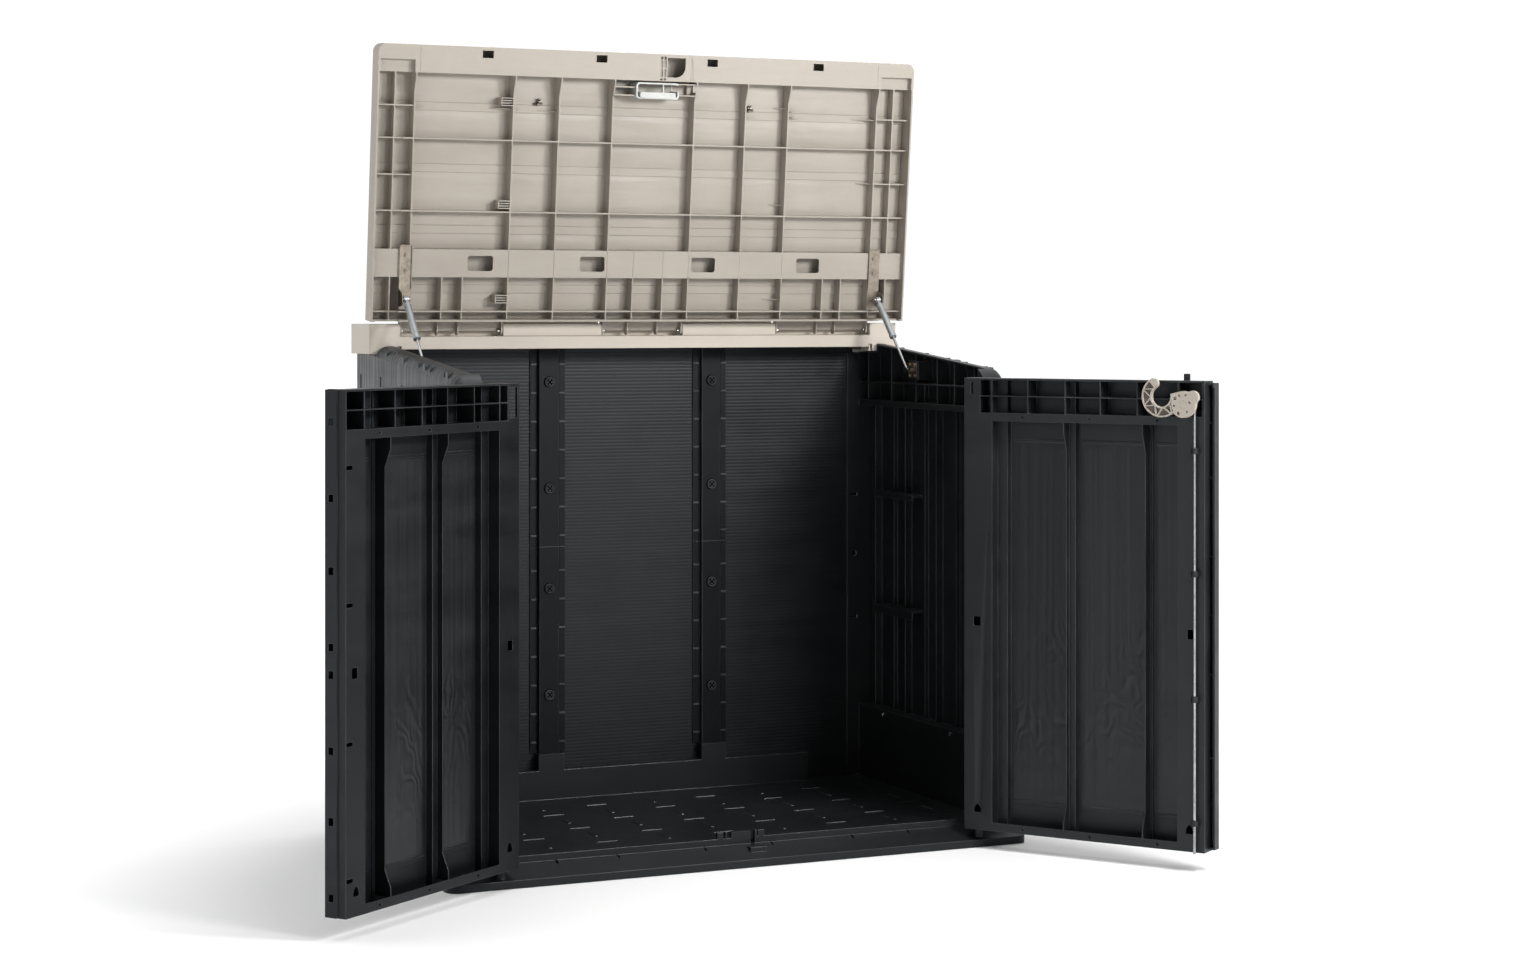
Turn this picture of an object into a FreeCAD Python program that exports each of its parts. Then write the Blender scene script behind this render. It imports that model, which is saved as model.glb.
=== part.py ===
import FreeCAD, Part
import math
import os
import re
import Sketcher

# Garden storage box: floor, two side panels, three-sheet back, rear header,
# lift-up lid on two gas struts, two swing doors and a turning hook latch.
# Millimetres.  X right, Y to the back, Z up, origin under the middle of the floor.

V = FreeCAD.Vector
ROT = FreeCAD.Rotation
PLA = FreeCAD.Placement

doc = FreeCAD.newDocument("garden_storage_box")
sheet = doc.addObject("Spreadsheet::Sheet", "Dims")
VAL = {}


def dim(alias, value):
    row = len(VAL) + 1
    sheet.set("A%d" % row, alias)
    sheet.set("B%d" % row, str(value))
    sheet.setAlias("B%d" % row, alias)
    VAL[alias] = float(value)


# ---- driving dimensions -------------------------------------------------
for alias, value in (
    ("base_half_x", 648), ("base_half_y", 372.5), ("base_corner", 25),
    ("floor_top", 48), ("floor_plate", 6), ("skirt_wall", 4), ("lip_top", 16),
    ("ramp_top", 38), ("ridge_front", -316), ("ridge_back", -306), ("ridge_top", 52),
    ("keeper_top", 65), ("upstand_half", 435), ("upstand_front", 288), ("upstand_back", 316.5),
    ("upstand_top", 113), ("socket_in", 167), ("socket_out", 227), ("socket_top", 149),
    ("side_in", 580), ("side_out", 620), ("side_wall", 4), ("side_front", -335),
    ("pillar_in", 562.5), ("pillar_back", -300), ("side_fillet", 26),
    ("rail_low", 918), ("rail_high", 931), ("band_high", 215),
    ("sheet_front", 317.5), ("sheet_thick", 5), ("sheet_low", 49), ("sheet_high", 1074),
    ("sheet_mid_half", 189.5), ("sheet_side_in", 204.5), ("sheet_side_out", 564.6),
    ("post_x", 197), ("post_half", 24.5), ("post_front", 303.5), ("post_flange", 41.5),
    ("post_back", 317), ("post_seam", 611), ("post_top", 1080), ("plug_head", 11), ("plug_shank", 7),
    ("header_half", 633), ("header_front", 228), ("header_back", 372.5), ("header_low", 1056),
    ("header_high", 1111), ("header_wall", 3.5), ("strip_high", 1083.7), ("pocket_back", 270),
    ("tab_front", 236), ("tongue_in", 328.5), ("tongue_out", 564), ("tongue_mid", 97.5),
    ("lid_axis_y", 246), ("lid_axis_z", 1095), ("lid_half", 638), ("lid_rear", 24.5),
    ("lid_front", 620.2), ("lid_rim", 41), ("lid_skin", 9), ("lid_wall", 4), ("lid_rib", 3),
    ("rib_edge", 30), ("rib_low", 27), ("front_band", 560.7), ("cross_low", 120.7), ("cross_high", 181.2),
    ("door_hinge_edge", 552), ("door_axis_x", 534), ("door_axis_y", -356), ("door_inner_y", -326),
    ("door_width", 544), ("door_thick", 46), ("door_low", 40), ("door_high", 997), ("door_wall", 4),
    ("stile_hinge", 66), ("stile_free", 484.6), ("grid_low", 924), ("rail_door", 906),
    ("hinge_pin", 4), ("hinge_bore", 4.06), ("latch_s", 512), ("latch_z", 950),
    ("hook_outer", 42), ("hook_inner", 21), ("hook_thick", 10), ("spindle", 8), ("rod_s", 526), ("rod_r", 3),
    ("strut_x", 565), ("strut_tube", 7.5), ("strut_rod", 3), ("strut_len", 219.5),
    ("anchor_t", 75.2), ("anchor_w", 52), ("stud_y", 35), ("stud_z", 1005.5),
):
    dim(alias, value)
doc.recompute()
D = VAL

LID_OPEN = 95.96      # turn of the lid from lying on its back to the open pose
LEFT_OPEN = 144.3     # doors, turned from closed
RIGHT_OPEN = 124.9

WORD = re.compile(r"[a-z_]+[a-z_0-9]*")


def full(text):
    return WORD.sub(lambda m: "Dims." + m.group(0) if m.group(0) in VAL else m.group(0), text)


def num(v):
    if isinstance(v, str):
        return float(sum_expr(v))
    return float(v)


def sum_expr(text):
    total = 0.0
    for sign, item in re.findall(r"([+-]?)\s*([a-z_0-9.]+)", text):
        val = VAL[item] if item in VAL else float(item)
        total += -val if sign == "-" else val
    return total


def pair(o, prop, comp, a, b):
    setattr(o, prop, num(b) - num(a))
    base = o.Placement.Base
    setattr(base, comp, num(a))
    o.Placement = PLA(base, o.Placement.Rotation)
    if isinstance(a, str) or isinstance(b, str):
        o.setExpression(prop, full("(%s) - (%s)" % (b, a)))
    if isinstance(a, str):
        o.setExpression("Placement.Base." + comp, full(a))


def box(x0, x1, y0, y1, z0, z1):
    o = doc.addObject("Part::Box", "Block")
    pair(o, "Length", "x", x0, x1)
    pair(o, "Width", "y", y0, y1)
    pair(o, "Height", "z", z0, z1)
    return o


def mbox(side, x0, x1, y0, y1, z0, z1):
    """block given for the right hand side, mirrored for side -1"""
    if side > 0:
        return box(x0, x1, y0, y1, z0, z1)
    return box(neg(x1), neg(x0), y0, y1, z0, z1)


def neg(v):
    if isinstance(v, str):
        text = v.strip()
        if text[0] not in "+-":
            text = "+" + text
        return text.replace("+", "~").replace("-", "+").replace("~", "-")
    return -v


AX = {"x": ROT(V(0, 1, 0), 90), "y": ROT(V(1, 0, 0), -90), "z": ROT()}


def cyl(axis, c, r, a, b):
    """cylinder along an axis from a to b; c is its place in the two other axes"""
    o = doc.addObject("Part::Cylinder", "Round")
    if isinstance(r, str):
        o.Radius = num(r)
        o.setExpression("Radius", full(r))
    else:
        o.Radius = r
    o.Height = num(b) - num(a)
    if isinstance(a, str) or isinstance(b, str):
        o.setExpression("Height", full("(%s) - (%s)" % (b, a)))
    p, q = num(c[0]), num(c[1])
    base = {"x": V(num(a), p, q), "y": V(p, num(a), q), "z": V(p, q, num(a))}[axis]
    o.Placement = PLA(base, AX[axis])
    return o


def poly(axis, pts, a, b):
    """straight prism: axis x takes (y, z) points, y takes (x, z), z takes (x, y)"""
    w = doc.addObject("Part::Polygon", "Outline")
    lo, hi = num(a), num(b)
    put = {"x": lambda p: V(lo, p[0], p[1]), "y": lambda p: V(p[0], lo, p[1]), "z": lambda p: V(p[0], p[1], lo)}[axis]
    w.Nodes = [put((num(p[0]), num(p[1]))) for p in pts]
    w.Close = True
    e = doc.addObject("Part::Extrusion", "Prism")
    e.Base = w
    e.DirMode = "Custom"
    e.Dir = {"x": V(1, 0, 0), "y": V(0, 1, 0), "z": V(0, 0, 1)}[axis]
    e.LengthFwd = hi - lo
    if isinstance(a, str) or isinstance(b, str):
        e.setExpression("LengthFwd", full("(%s) - (%s)" % (b, a)))
    e.Solid = True
    return e


def fuse(items, label=None):
    if len(items) == 1:
        o = items[0]
    else:
        o = doc.addObject("Part::MultiFuse", "Union")
        o.Shapes = items
    if label:
        o.Label = label
    return o


def cut(base, tools, label=None):
    o = doc.addObject("Part::Cut", "Cutting")
    o.Base = base
    o.Tool = fuse(tools) if isinstance(tools, list) else tools
    if label:
        o.Label = label
    return o


def common(a, b):
    o = doc.addObject("Part::Common", "Overlap")
    o.Base = a
    o.Tool = b
    return o


def group(items, label):
    o = doc.addObject("Part::Compound", "Set")
    o.Links = items
    o.Label = label
    return o


def fillet(base, radius, pick):
    doc.recompute()
    o = doc.addObject("Part::Fillet", "Rounded")
    o.Base = base
    out = []
    for i, e in enumerate(base.Shape.Edges):
        r = pick(e)
        if r:
            out.append((i + 1, radius if r is True else r, radius if r is True else r))
    o.Edges = out
    base.Visibility = False
    return o


def edge_box(e):
    b = e.BoundBox
    return b.XMin, b.XMax, b.YMin, b.YMax, b.ZMin, b.ZMax


def upright(e):
    x0, x1, y0, y1, z0, z1 = edge_box(e)
    return x1 - x0 < 1e-4 and y1 - y0 < 1e-4


def rbox(x0, x1, y0, y1, z0, z1, r):
    """block with its four upright edges rounded"""
    return fillet(box(x0, x1, y0, y1, z0, z1), r, upright)


NODES = []


def node(o, label):
    o.Label = label
    NODES.append(o)
    return o


# ---- floor --------------------------------------------------------------
hx, hy = D["base_half_x"], D["base_half_y"]
body = poly("x", [(-hy, 0), (-hy, "lip_top"), (-318, "ramp_top"), (-306, "ramp_top"), (-306, "floor_top"),
                  (hy, "floor_top"), (hy, 0)], "-base_half_x", "base_half_x")
body = common(body, rbox("-base_half_x", "base_half_x", "-base_half_y", "base_half_y", -1, 60, D["base_corner"]))
wedges = []
for sd in (1, -1):
    wedges.append(poly("y", [(sd * 624, 50), (sd * 650, 50), (sd * 650, 24)], -380, 380))
body = cut(body, wedges)
hollow = fuse([
    box("-base_half_x + skirt_wall", "base_half_x - skirt_wall", -302, "base_half_y - skirt_wall", -1, "floor_top - floor_plate"),
    poly("x", [(-368.5, -1), (-368.5, 11), (-322, 30), (-306, 30), (-306, -1)], "-base_half_x + skirt_wall", "base_half_x - skirt_wall"),
])
ribs = [box(x - 1.5, x + 1.5, -370, 370, 2, 46) for x in (-560, -420, -280, -140, 0, 140, 280, 420, 560)]
ribs += [box(-646, 646, y - 1.5, y + 1.5, 2, 46) for y in (-215, -110, 0, 110, 215)]
hollow = cut(hollow, ribs)
hollow = common(hollow, rbox("-base_half_x + skirt_wall", "base_half_x - skirt_wall", "-base_half_y + skirt_wall",
                             "base_half_y - skirt_wall", -2, 60, D["base_corner"] - 4))
edge_keep = []
for sd in (1, -1):
    edge_keep.append(poly("y", [(sd * 617, 44), (sd * 617, 60), (sd * 660, 60), (sd * 660, 8), (sd * 645, 19)], -380, 380))
hollow = cut(hollow, edge_keep)
body = cut(body, hollow)
add = [
    box(-552, 552, "ridge_front", "ridge_back", 30, "ridge_top"),
    cyl("z", (0, 0), 30, 0, 46),
    box("-upstand_half", "upstand_half", "upstand_front", "upstand_back", 44, "upstand_top"),
    box(8, 44, -348, -294, 0, 36),
    box(-575, 575, 324, 328, 46, 75),
    box(-53, -40, "ridge_front", "ridge_back", 44, "keeper_top"),
    box(-35, -32, "ridge_front", "ridge_back", 44, "keeper_top"),
    box(-22, 20.8, "ridge_front", "ridge_back", 44, "keeper_top"),
    box(31.2, 36, "ridge_front", "ridge_back", 44, "keeper_top"),
    box(39, 52, "ridge_front", "ridge_back", 44, "keeper_top"),
]
for sd in (1, -1):
    add.append(mbox(sd, "socket_in", "socket_out", "upstand_front", "upstand_back", 44, "socket_top"))
    add.append(cyl("z", (sd * D["door_axis_x"], D["door_axis_y"]), 10, 0, 38))
    add.append(mbox(sd, 556, 622, -340, -304, 8, "floor_top"))
    for y in (-330, 340):
        add.append(cyl("z", (sd * 600, y), 16, 0, 45 if y > 0 else 30))
# raised anti-slip bars on the floor
for i in range(6):
    y = -224 + 81.2 * i
    for k in range(-4, 5):
        x = 130.5 * k
        if abs(x) > 540:
            continue
        if (k + i) % 2 == 0:
            add.append(box(x - 23, x + 23, y - 3, y + 3, 47, 49.5))
        else:
            add.append(box(x - 3, x + 3, y - 23, y + 23, 47, 49.5))
body = fuse([body] + add)
drop = [
    box("-upstand_half + 3.5", "upstand_half - 3.5", "upstand_front + 3.5", "upstand_back - 3.5", -1, "upstand_top - 3.5"),
    box(20.8, 31.2, -322, -304, 38.01, 80),
    cyl("z", (26, -317), 5, -1, 40),
]
for sd in (1, -1):
    drop.append(mbox(sd, "socket_in + 3.5", "socket_out - 3.5", "upstand_front + 3.5", "upstand_back - 3.5", -1, "socket_top - 3.5"))
    drop.append(cyl("z", (sd * D["door_axis_x"], D["door_axis_y"]), 4.02, 6, 60))
for x in (-406, -274, -83, 67, 252, 383):
    drop.append(box(x - 2.5, x + 2.5, -332, -316, 33, 70))
node(cut(body, drop), "base_floor")


# ---- side panels --------------------------------------------------------
SLOPE = 0.0905
NORM = math.sqrt(1 + SLOPE * SLOPE)


def outline(sd, x0, x1, off):
    """side panel outline, moved inwards by off, as a sketch pulled along X"""
    yf = D["side_front"] + off
    cy, cz, rad = D["side_front"] + 50, 1043 + SLOPE * (D["side_front"] + 50) - 50 * NORM, 50 - off
    ty, tz = cy - rad * SLOPE / NORM, cz + rad / NORM
    yr, ys = 372.5 - off, 222 - off
    zl, zs = 48 + off, 1046 - off
    rim = 1043 - off * NORM + SLOPE * ys
    sk = doc.addObject("Sketcher::SketchObject", "SideOutline")
    sk.Placement = PLA(V(min(sd * x0, sd * x1), 0, 0), ROT(V(1, 1, 1), 120))
    P = [V(yf, zl, 0), V(yf, cz, 0), V(ty, tz, 0), V(ys, rim, 0), V(ys, zs, 0), V(yr, zs, 0), V(yr, zl, 0)]
    sk.addGeometry(Part.LineSegment(P[0], P[1]), False)
    sk.addGeometry(Part.ArcOfCircle(Part.Circle(V(cy, cz, 0), V(0, 0, 1), rad), math.atan2(tz - cz, ty - cy), math.pi), False)
    for a, b in ((2, 3), (3, 4), (4, 5), (5, 6), (6, 0)):
        sk.addGeometry(Part.LineSegment(P[a], P[b]), False)
    con = [("Coincident", 0, 2, 1, 2), ("Coincident", 1, 1, 2, 1), ("Coincident", 2, 2, 3, 1), ("Coincident", 3, 2, 4, 1),
           ("Coincident", 4, 2, 5, 1), ("Coincident", 5, 2, 6, 1), ("Coincident", 6, 2, 0, 1)]
    for c in con:
        sk.addConstraint(Sketcher.Constraint(*c))
    e = doc.addObject("Part::Extrusion", "SidePull")
    e.Base = sk
    e.DirMode = "Custom"
    e.Dir = V(1, 0, 0)
    e.LengthFwd = abs(x1 - x0)
    e.Solid = True
    return e


def side_panel(sd, label):
    xin, xout, wall = D["side_in"], D["side_out"], D["side_wall"]

    def chain(xe):
        def pick(e):
            x0, x1, y0, y1, z0, z1 = edge_box(e)
            if abs(x0 - sd * xe) > 1e-3 or abs(x1 - sd * xe) > 1e-3:
                return False
            if z1 - z0 < 1 and abs(z1 - 1046) < 8:
                return False
            if z1 < 60 or y0 > 200 and y1 - y0 < 1 or y0 > 210:
                return False
            return True
        return pick

    outer = fillet(outline(sd, xin, xout, 0), D["side_fillet"], chain(xout))
    inner = fillet(outline(sd, xin - 1, xout - wall, wall), D["side_fillet"] - wall, chain(xout - wall))
    shell = cut(outer, inner)
    pil = common(outline(sd, D["pillar_in"], xin + 1, 0), mbox(sd, 560, 585, -340, "pillar_back", 40, 1100))
    pil_in = common(outline(sd, D["pillar_in"] + 4, xin + 5, 4), mbox(sd, 560, 590, -340, "pillar_back - 4", 40, 1100))
    ribs = []
    for y in (341, 190, 35, -115, -265):
        ribs.append(mbox(sd, 606, 618, y - 7, y + 7, 50, 1040))
    for y in (265, 112, -40, -190):
        ribs.append(mbox(sd, 598, 618, y - 1.5, y + 1.5, "band_high - 2", "rail_low + 10"))
    for y in (274.5, 153, 31, -72, -154, -245):
        ribs.append(mbox(sd, 584, 618, y - 1.5, y + 1.5, "rail_high - 2", 1100))
    ribs.append(mbox(sd, 584, 618, -301, 314, 972, 975))
    ribs.append(mbox(sd, "side_in", 618, -301, 314, "rail_high - 4", "rail_high"))
    ribs.append(mbox(sd, "side_in", "side_in + 3", -301, 314, "rail_low", "rail_high"))
    for lo, hi in ((708, 720), (438, 457)):
        ribs.append(mbox(sd, "side_in", 618, 41, 237, hi - 5, hi))
        ribs.append(mbox(sd, "side_in", "side_in + 3", 41, 237, lo, hi))
    ribs.append(mbox(sd, "side_in", "side_in + 4", -302, 314, 50, "band_high"))
    ribs.append(mbox(sd, "side_in", 618, -302, 314, "band_high - 4", "band_high"))
    ribs.append(mbox(sd, "side_in", 618, 10, 60, 984, 1026))
    ribs.append(mbox(sd, "side_in - 1", 618, 313.5, 317.2, 50, 1044))
    ribs = common(fuse(ribs), outline(sd, xin - 2, xout - 2, 2))
    parts = [shell, cut(pil, pil_in), ribs,
             mbox(sd, 548, "side_in + 2", 313.5, 317.2, 50, 1040),
             mbox(sd, 553, 564, -317, -312, 54, 930)]
    ax, ay = D["door_axis_x"], D["door_axis_y"]
    nx, ny = -0.584 * 6, 0.812 * 6
    ex, ey = 572, -328.7
    parts.append(poly("z", [(sd * (ax + nx), ay + ny), (sd * (ex + nx), ey + ny), (sd * (ex - nx), ey - ny), (sd * (ax - nx), ay - ny)], 940, 960))
    parts.append(cyl("z", (sd * ax, ay), 9, 940, 980))
    parts.append(poly("z", [(sd * (ax + nx), ay + ny), (sd * (568 + nx), -331.6 + ny), (sd * (568 - nx), -331.6 - ny), (sd * (ax - nx), ay - ny)], 958, 978))
    tools = [cyl("z", (sd * ax, ay), 4.02, 930, 990)]
    for y in (341, 190, 35, -115, -265):
        hi = 1043 + SLOPE * min(y, 222) - 62
        tools.append(poly("z", [(sd * 621, y - 4.5), (sd * 621, y + 4.5), (sd * 616, y + 3), (sd * 610.5, y + 2.5), (sd * 610.5, y - 2.5), (sd * 616, y - 3)], 70, hi))
    tools.append(cyl("y", (sd * 567, 569), 6, 305, 330))
    for z in (708, 420):
        tools.append(mbox(sd, 557, 575, 305, 330, z - 3, z + 3))
    for y in (184.5, -144):
        tools.append(cyl("x", (y, 205), 2.05, min(sd * 575, sd * 592), max(sd * 575, sd * 592)))
    for y in (22, 48):
        for z in (992, 1017):
            tools.append(cyl("x", (y, z), 1.55, min(sd * 575, sd * 592), max(sd * 575, sd * 592)))
    tools.append(cyl("x", (D["stud_y"], D["stud_z"]), 4.05, min(sd * 575, sd * 590), max(sd * 575, sd * 590)))
    return node(cut(fuse(parts), tools), label)


side_panel(-1, "left_side_panel")
side_panel(1, "right_side_panel")


# ---- back: three sheets, two posts in halves, outer strips, plugs ----------
node(box("-sheet_side_out", "-sheet_side_in", "sheet_front", "sheet_front + sheet_thick", "sheet_low", "sheet_high"), "back_sheet_left")
node(box("-sheet_mid_half", "sheet_mid_half", "sheet_front", "sheet_front + sheet_thick", "sheet_low", "sheet_high"), "back_sheet_center")
node(box("sheet_side_in", "sheet_side_out", "sheet_front", "sheet_front + sheet_thick", "sheet_low", "sheet_high"), "back_sheet_right")

PLUGS = (980, 742, 518, 280)


def post(sd, z0, z1, label):
    xc, h, fl = sd * D["post_x"], D["post_half"], D["post_flange"]
    f, b = D["post_front"], D["post_back"]
    hat = poly("z", [(xc - fl, b), (xc - fl, b - 3), (xc - h, b - 3), (xc - h, f + 2), (xc - h + 2, f), (xc + h - 2, f), (xc + h, f + 2),
                     (xc + h, b - 3), (xc + fl, b - 3), (xc + fl, b), (xc + h - 3, b), (xc + h - 3, f + 3), (xc - h + 3, f + 3), (xc - h + 3, b)], z0, z1)
    parts = [hat]
    z = num(z0) + 24
    while z < num(z1) - 20:
        for s in (1, -1):
            a, c = xc + s * (h + 3), xc + s * (fl - 1)
            parts.append(box(min(a, c), max(a, c), b - 5, b - 2.5, z - 1.5, z + 1.5))
        z += 64
    web = []
    for zz in PLUGS:
        if num(z0) < zz < num(z1):
            web.append(cyl("y", (xc, zz), "plug_shank + 0.05", f - 5, b + 5))
            parts.append(box(xc - h + 1, xc + h - 1, f + 1, f + 7, zz - 16, zz + 16))
    return node(cut(fuse(parts), web), label)


for sd, nm in ((-1, "left"), (1, "right")):
    post(sd, "socket_top", "post_seam - 0.4", "back_post_%s_lower" % nm)
    post(sd, "post_seam + 0.4", "post_top", "back_post_%s_upper" % nm)
    xc = sd * D["post_x"]
    strip = fuse([box(xc - 36, xc + 36, 323, 327, 78, 1072), box(xc - 36, xc - 32, 323, 336, 78, 1045), box(xc + 32, xc + 36, 323, 336, 78, 1045),
                  box(xc - 12, xc + 12, 323, 331, 78, 1045)])
    node(cut(strip, [cyl("y", (xc, zz), "plug_shank + 0.05", 318, 340) for zz in PLUGS]), "outer_strip_%s" % nm)

plugs = []
for sd in (-1, 1):
    for zz in PLUGS:
        xc = sd * D["post_x"]
        head = fuse([cyl("y", (xc, zz), "plug_head", "post_front - 3", "post_front"), cyl("y", (xc, zz), "plug_shank", "post_front - 1", 333)])
        plugs.append(cut(head, [box(xc - 8, xc + 8, 299, 302, zz - 1.6, zz + 1.6)]))
node(group(plugs, "post_lock_plugs"), "post_lock_plugs")


# ---- rear header --------------------------------------------------------
w = D["header_wall"]
hd = [
    box("-header_half", "header_half", "header_back - header_wall", "header_back", "header_low", "header_high"),
    box("-header_half", "header_half", "header_front", "header_front + header_wall", "header_low - 0.5", "strip_high"),
    box("-header_half", "header_half", "header_front", "tab_front + header_wall", "strip_high - header_wall", "strip_high"),
    box("-header_half", "header_half", "pocket_back", "header_back", "header_high - header_wall", "header_high"),
]
for a, b in (("-tongue_mid", "tongue_mid"), ("tongue_in", "tongue_out + 2"), ("-tongue_out - 2", "-tongue_in")):
    hd.append(box(a, b, "header_front", "pocket_back + header_wall", "strip_high - header_wall", "strip_high"))
    hd.append(box(a, b, "pocket_back", "pocket_back + header_wall", "strip_high - header_wall", "header_high"))
for sd in (1, -1):
    hd.append(mbox(sd, "tongue_mid", "tongue_in", "tab_front", "tab_front + header_wall", "strip_high - 2", "header_high"))
    hd.append(mbox(sd, "tongue_mid", "tongue_in", "tab_front", "header_back", "header_high - header_wall", "header_high"))
    hd.append(mbox(sd, "tongue_mid", "tongue_in", 258, 261, "header_high - 2", 1119))
    hd.append(mbox(sd, "tongue_mid", "tongue_mid + 5", "tab_front", "pocket_back + header_wall", "strip_high - header_wall", "header_high"))
    hd.append(mbox(sd, "tongue_in - 5", "tongue_in", "tab_front", "pocket_back + header_wall", "strip_high - header_wall", "header_high"))
    hd.append(mbox(sd, 565, "header_half", "header_front", "header_front + header_wall", 1046, "header_high"))
    hd.append(mbox(sd, 565, 570, "header_front", "pocket_back + header_wall", 1046, "header_high"))
    hd.append(mbox(sd, 565, "header_half", "header_front", "header_back", 1046, 1049.5))
    hd.append(mbox(sd, "header_half - header_wall", "header_half", "header_front", "header_back", 1046, "header_high"))
    hd.append(mbox(sd, 565, "header_half", "header_front", "header_back", "header_high - header_wall", "header_high"))
    hd.append(mbox(sd, 565, "header_half", "header_back - header_wall", "header_back", 1046, "header_high"))
    for x in (120, 330, 450):
        hd.append(mbox(sd, x - 1.5, x + 1.5, 340, 370, 1060, 1109))
cutters = []
for sd in (1, -1):
    for x in (D["tongue_mid"], D["tongue_in"] - 9, 560):
        lo, hi = sorted((sd * x, sd * (x + 14)))
        cutters.append(cyl("x", ("lid_axis_y", "lid_axis_z"), 4.02, lo, hi))
    cutters.append(mbox(sd, 562.5, 571.5, 226, 233, 1044, 1062))
    # drain the end block
    cutters.append(cyl("z", (sd * 600, 352), 5, 1040, 1052))
node(cut(fuse(hd), cutters), "rear_header")

pins = []
for sd in (1, -1):
    for a, b in ((555, 580), (314, 339), (87, 112)):
        lo, hi = sorted((sd * a, sd * b))
        pins.append(cyl("x", ("lid_axis_y", "lid_axis_z"), "hinge_pin", lo, hi))
node(group(pins, "lid_hinge_pins"), "lid_hinge_pins")


# ---- lid, drawn lying on its back: X across, Y from the hinge, Z to the rim ----
LID_PLA = PLA(V(0, D["lid_axis_y"], D["lid_axis_z"]), ROT(V(1, 0, 0), LID_OPEN))
fb, cl, ch = D["front_band"], D["cross_low"], D["cross_high"]
edge, low = D["rib_edge"], D["rib_low"]


def lid_edges(e):
    x0, x1, y0, y1, z0, z1 = edge_box(e)
    if upright(e):
        return 18 if y0 > 600 else False
    if z1 < -8.9 and y1 > 100:
        return 8
    return False


tray = fillet(box("-lid_half", "lid_half", "lid_rear", "lid_front", "-lid_skin", "lid_rim"), 8, lid_edges)
tube = fillet(box("-lid_half + lid_wall", "lid_half - lid_wall", "front_band + lid_wall", "lid_front - lid_wall", -1, "lid_rim - lid_wall"),
              14, lambda e: upright(e) and e.BoundBox.YMin > 600)
shell = cut(tray, [box("-lid_half + lid_wall", "lid_half - lid_wall", "lid_rear + lid_wall", "front_band", -1, 45), tube])
add = []


def across(y, thick, top=edge):
    add.append(box(-576, 576, y - thick / 2, y + thick / 2, -2, top))
    for sd in (1, -1):
        add.append(mbox(sd, 575, "lid_half - 2", y - thick / 2, y + thick / 2, -2, "rib_low"))


for y in (420, 263.7, 46):
    across(y, D["lid_rib"])
for y in (490, 341.5):
    for sd in (1, -1):
        add.append(mbox(sd, 552, "lid_half - 2", y - 1.5, y + 1.5, -2, "rib_low"))
for x, top in ((595, low), (552, edge), (328.5, edge), (222.7, edge), (97.7, edge)):
    for sd in (1, -1):
        add.append(mbox(sd, x - 1.5, x + 1.5, "cross_high - 1", "front_band + 1", -2, top))
        add.append(mbox(sd, x - 1.5, x + 1.5, "lid_rear + 2", "cross_low + 1", -2, top))
        if x < 560:
            add.append(poly("x", [(fb + 1, 20), (fb + 1, 41), (fb - 6, 41), (522, 30), (522, 20)], min(sd * (x - 1.5), sd * (x + 1.5)), max(sd * (x - 1.5), sd * (x + 1.5))))
for x in (35.8, 432.5, 479):
    for sd in (1, -1):
        add.append(mbox(sd, x - 1.5, x + 1.5, "lid_rear + 2", "cross_low + 1", -2, "rib_edge"))
# cross band
add.append(box(-577, 577, "cross_low", "cross_high", "rib_edge - 4", "rib_edge"))
for sd in (1, -1):
    add.append(mbox(sd, 573, "lid_half - 2", "cross_low", "cross_high", "rib_low - 4", "rib_low"))
for y in (cl, ch - 3):
    add.append(box(-577, 577, y, y + 3, -2, "rib_edge"))
    for sd in (1, -1):
        add.append(mbox(sd, 575, "lid_half - 2", y, y + 3, -2, "rib_low"))
for x in (328.5, 222.7, 97.7, 35.8):
    for sd in (1, -1):
        add.append(mbox(sd, x - 0.8, x + 0.8, "cross_low", "cross_high", 29, 30.6))
# lap bands of the boards, seen from inside
for y in (84, 214, 347, 480):
    add.append(box("-lid_half + 2", "lid_half - 2", y, y + 17.5, -2, 0.8))
# corner pockets of the front band for the side panels' corners
for sd in (1, -1):
    add.append(mbox(sd, 552, "lid_half - 2", "front_band", 592, 23, "lid_rim"))
# ribs beside the latch frame
add += [box(-99, -49, 526, 529, -2, 36), box(-99, -49, 544, 547, -2, 36),
        box(53, 99, 528.5, 531.5, -2, 36), box(53, 99, 553.5, 556.5, -2, 36), box(84, 97, 531, 554, -2, 11)]
# clips on the left rib
for y in (504, 280, 73):
    add += [box(-356, -329, y - 9, y - 7, -2, 30), box(-356, -329, y + 7, y + 9, -2, 30), box(-356, -353.5, y - 9, y + 9, -2, 27)]
for y in (504, 490):
    add.append(box(329, 352, y - 1, y + 1, -2, 22))
# hinge tongues
for a, b, mids in ((329.5, 563, (432.5, 479)), (-563, -329.5, (-432.5, -479)), (-96.5, 96.5, (-35.8, 35.8))):
    add.append(box(a, b, 0, "lid_rear + 2", "-lid_skin", -4.5))
    for x0, x1 in [(a, a + 4), (b - 4, b)] + [(m - 1.5, m + 1.5) for m in mids]:
        add.append(box(x0, x1, 0, "lid_rear + 2", "-lid_skin", 9.5))
        add.append(cyl("x", (0, 0), 9.5, x0, x1))
solid = fuse([shell] + add)
tools = []
boards = (40, 98, 228, 361, 494, 604)
for a, b in zip(boards[:-1], boards[1:]):
    tools.append(poly("x", [(a, -5.4), (b, -8.7), (b, -12), (a, -12)], -612, 612))
for x in (-394, -132, 132, 394):
    tools.append(box(x - 12.5, x + 12.5, 597, 613, 35, 45))
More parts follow.
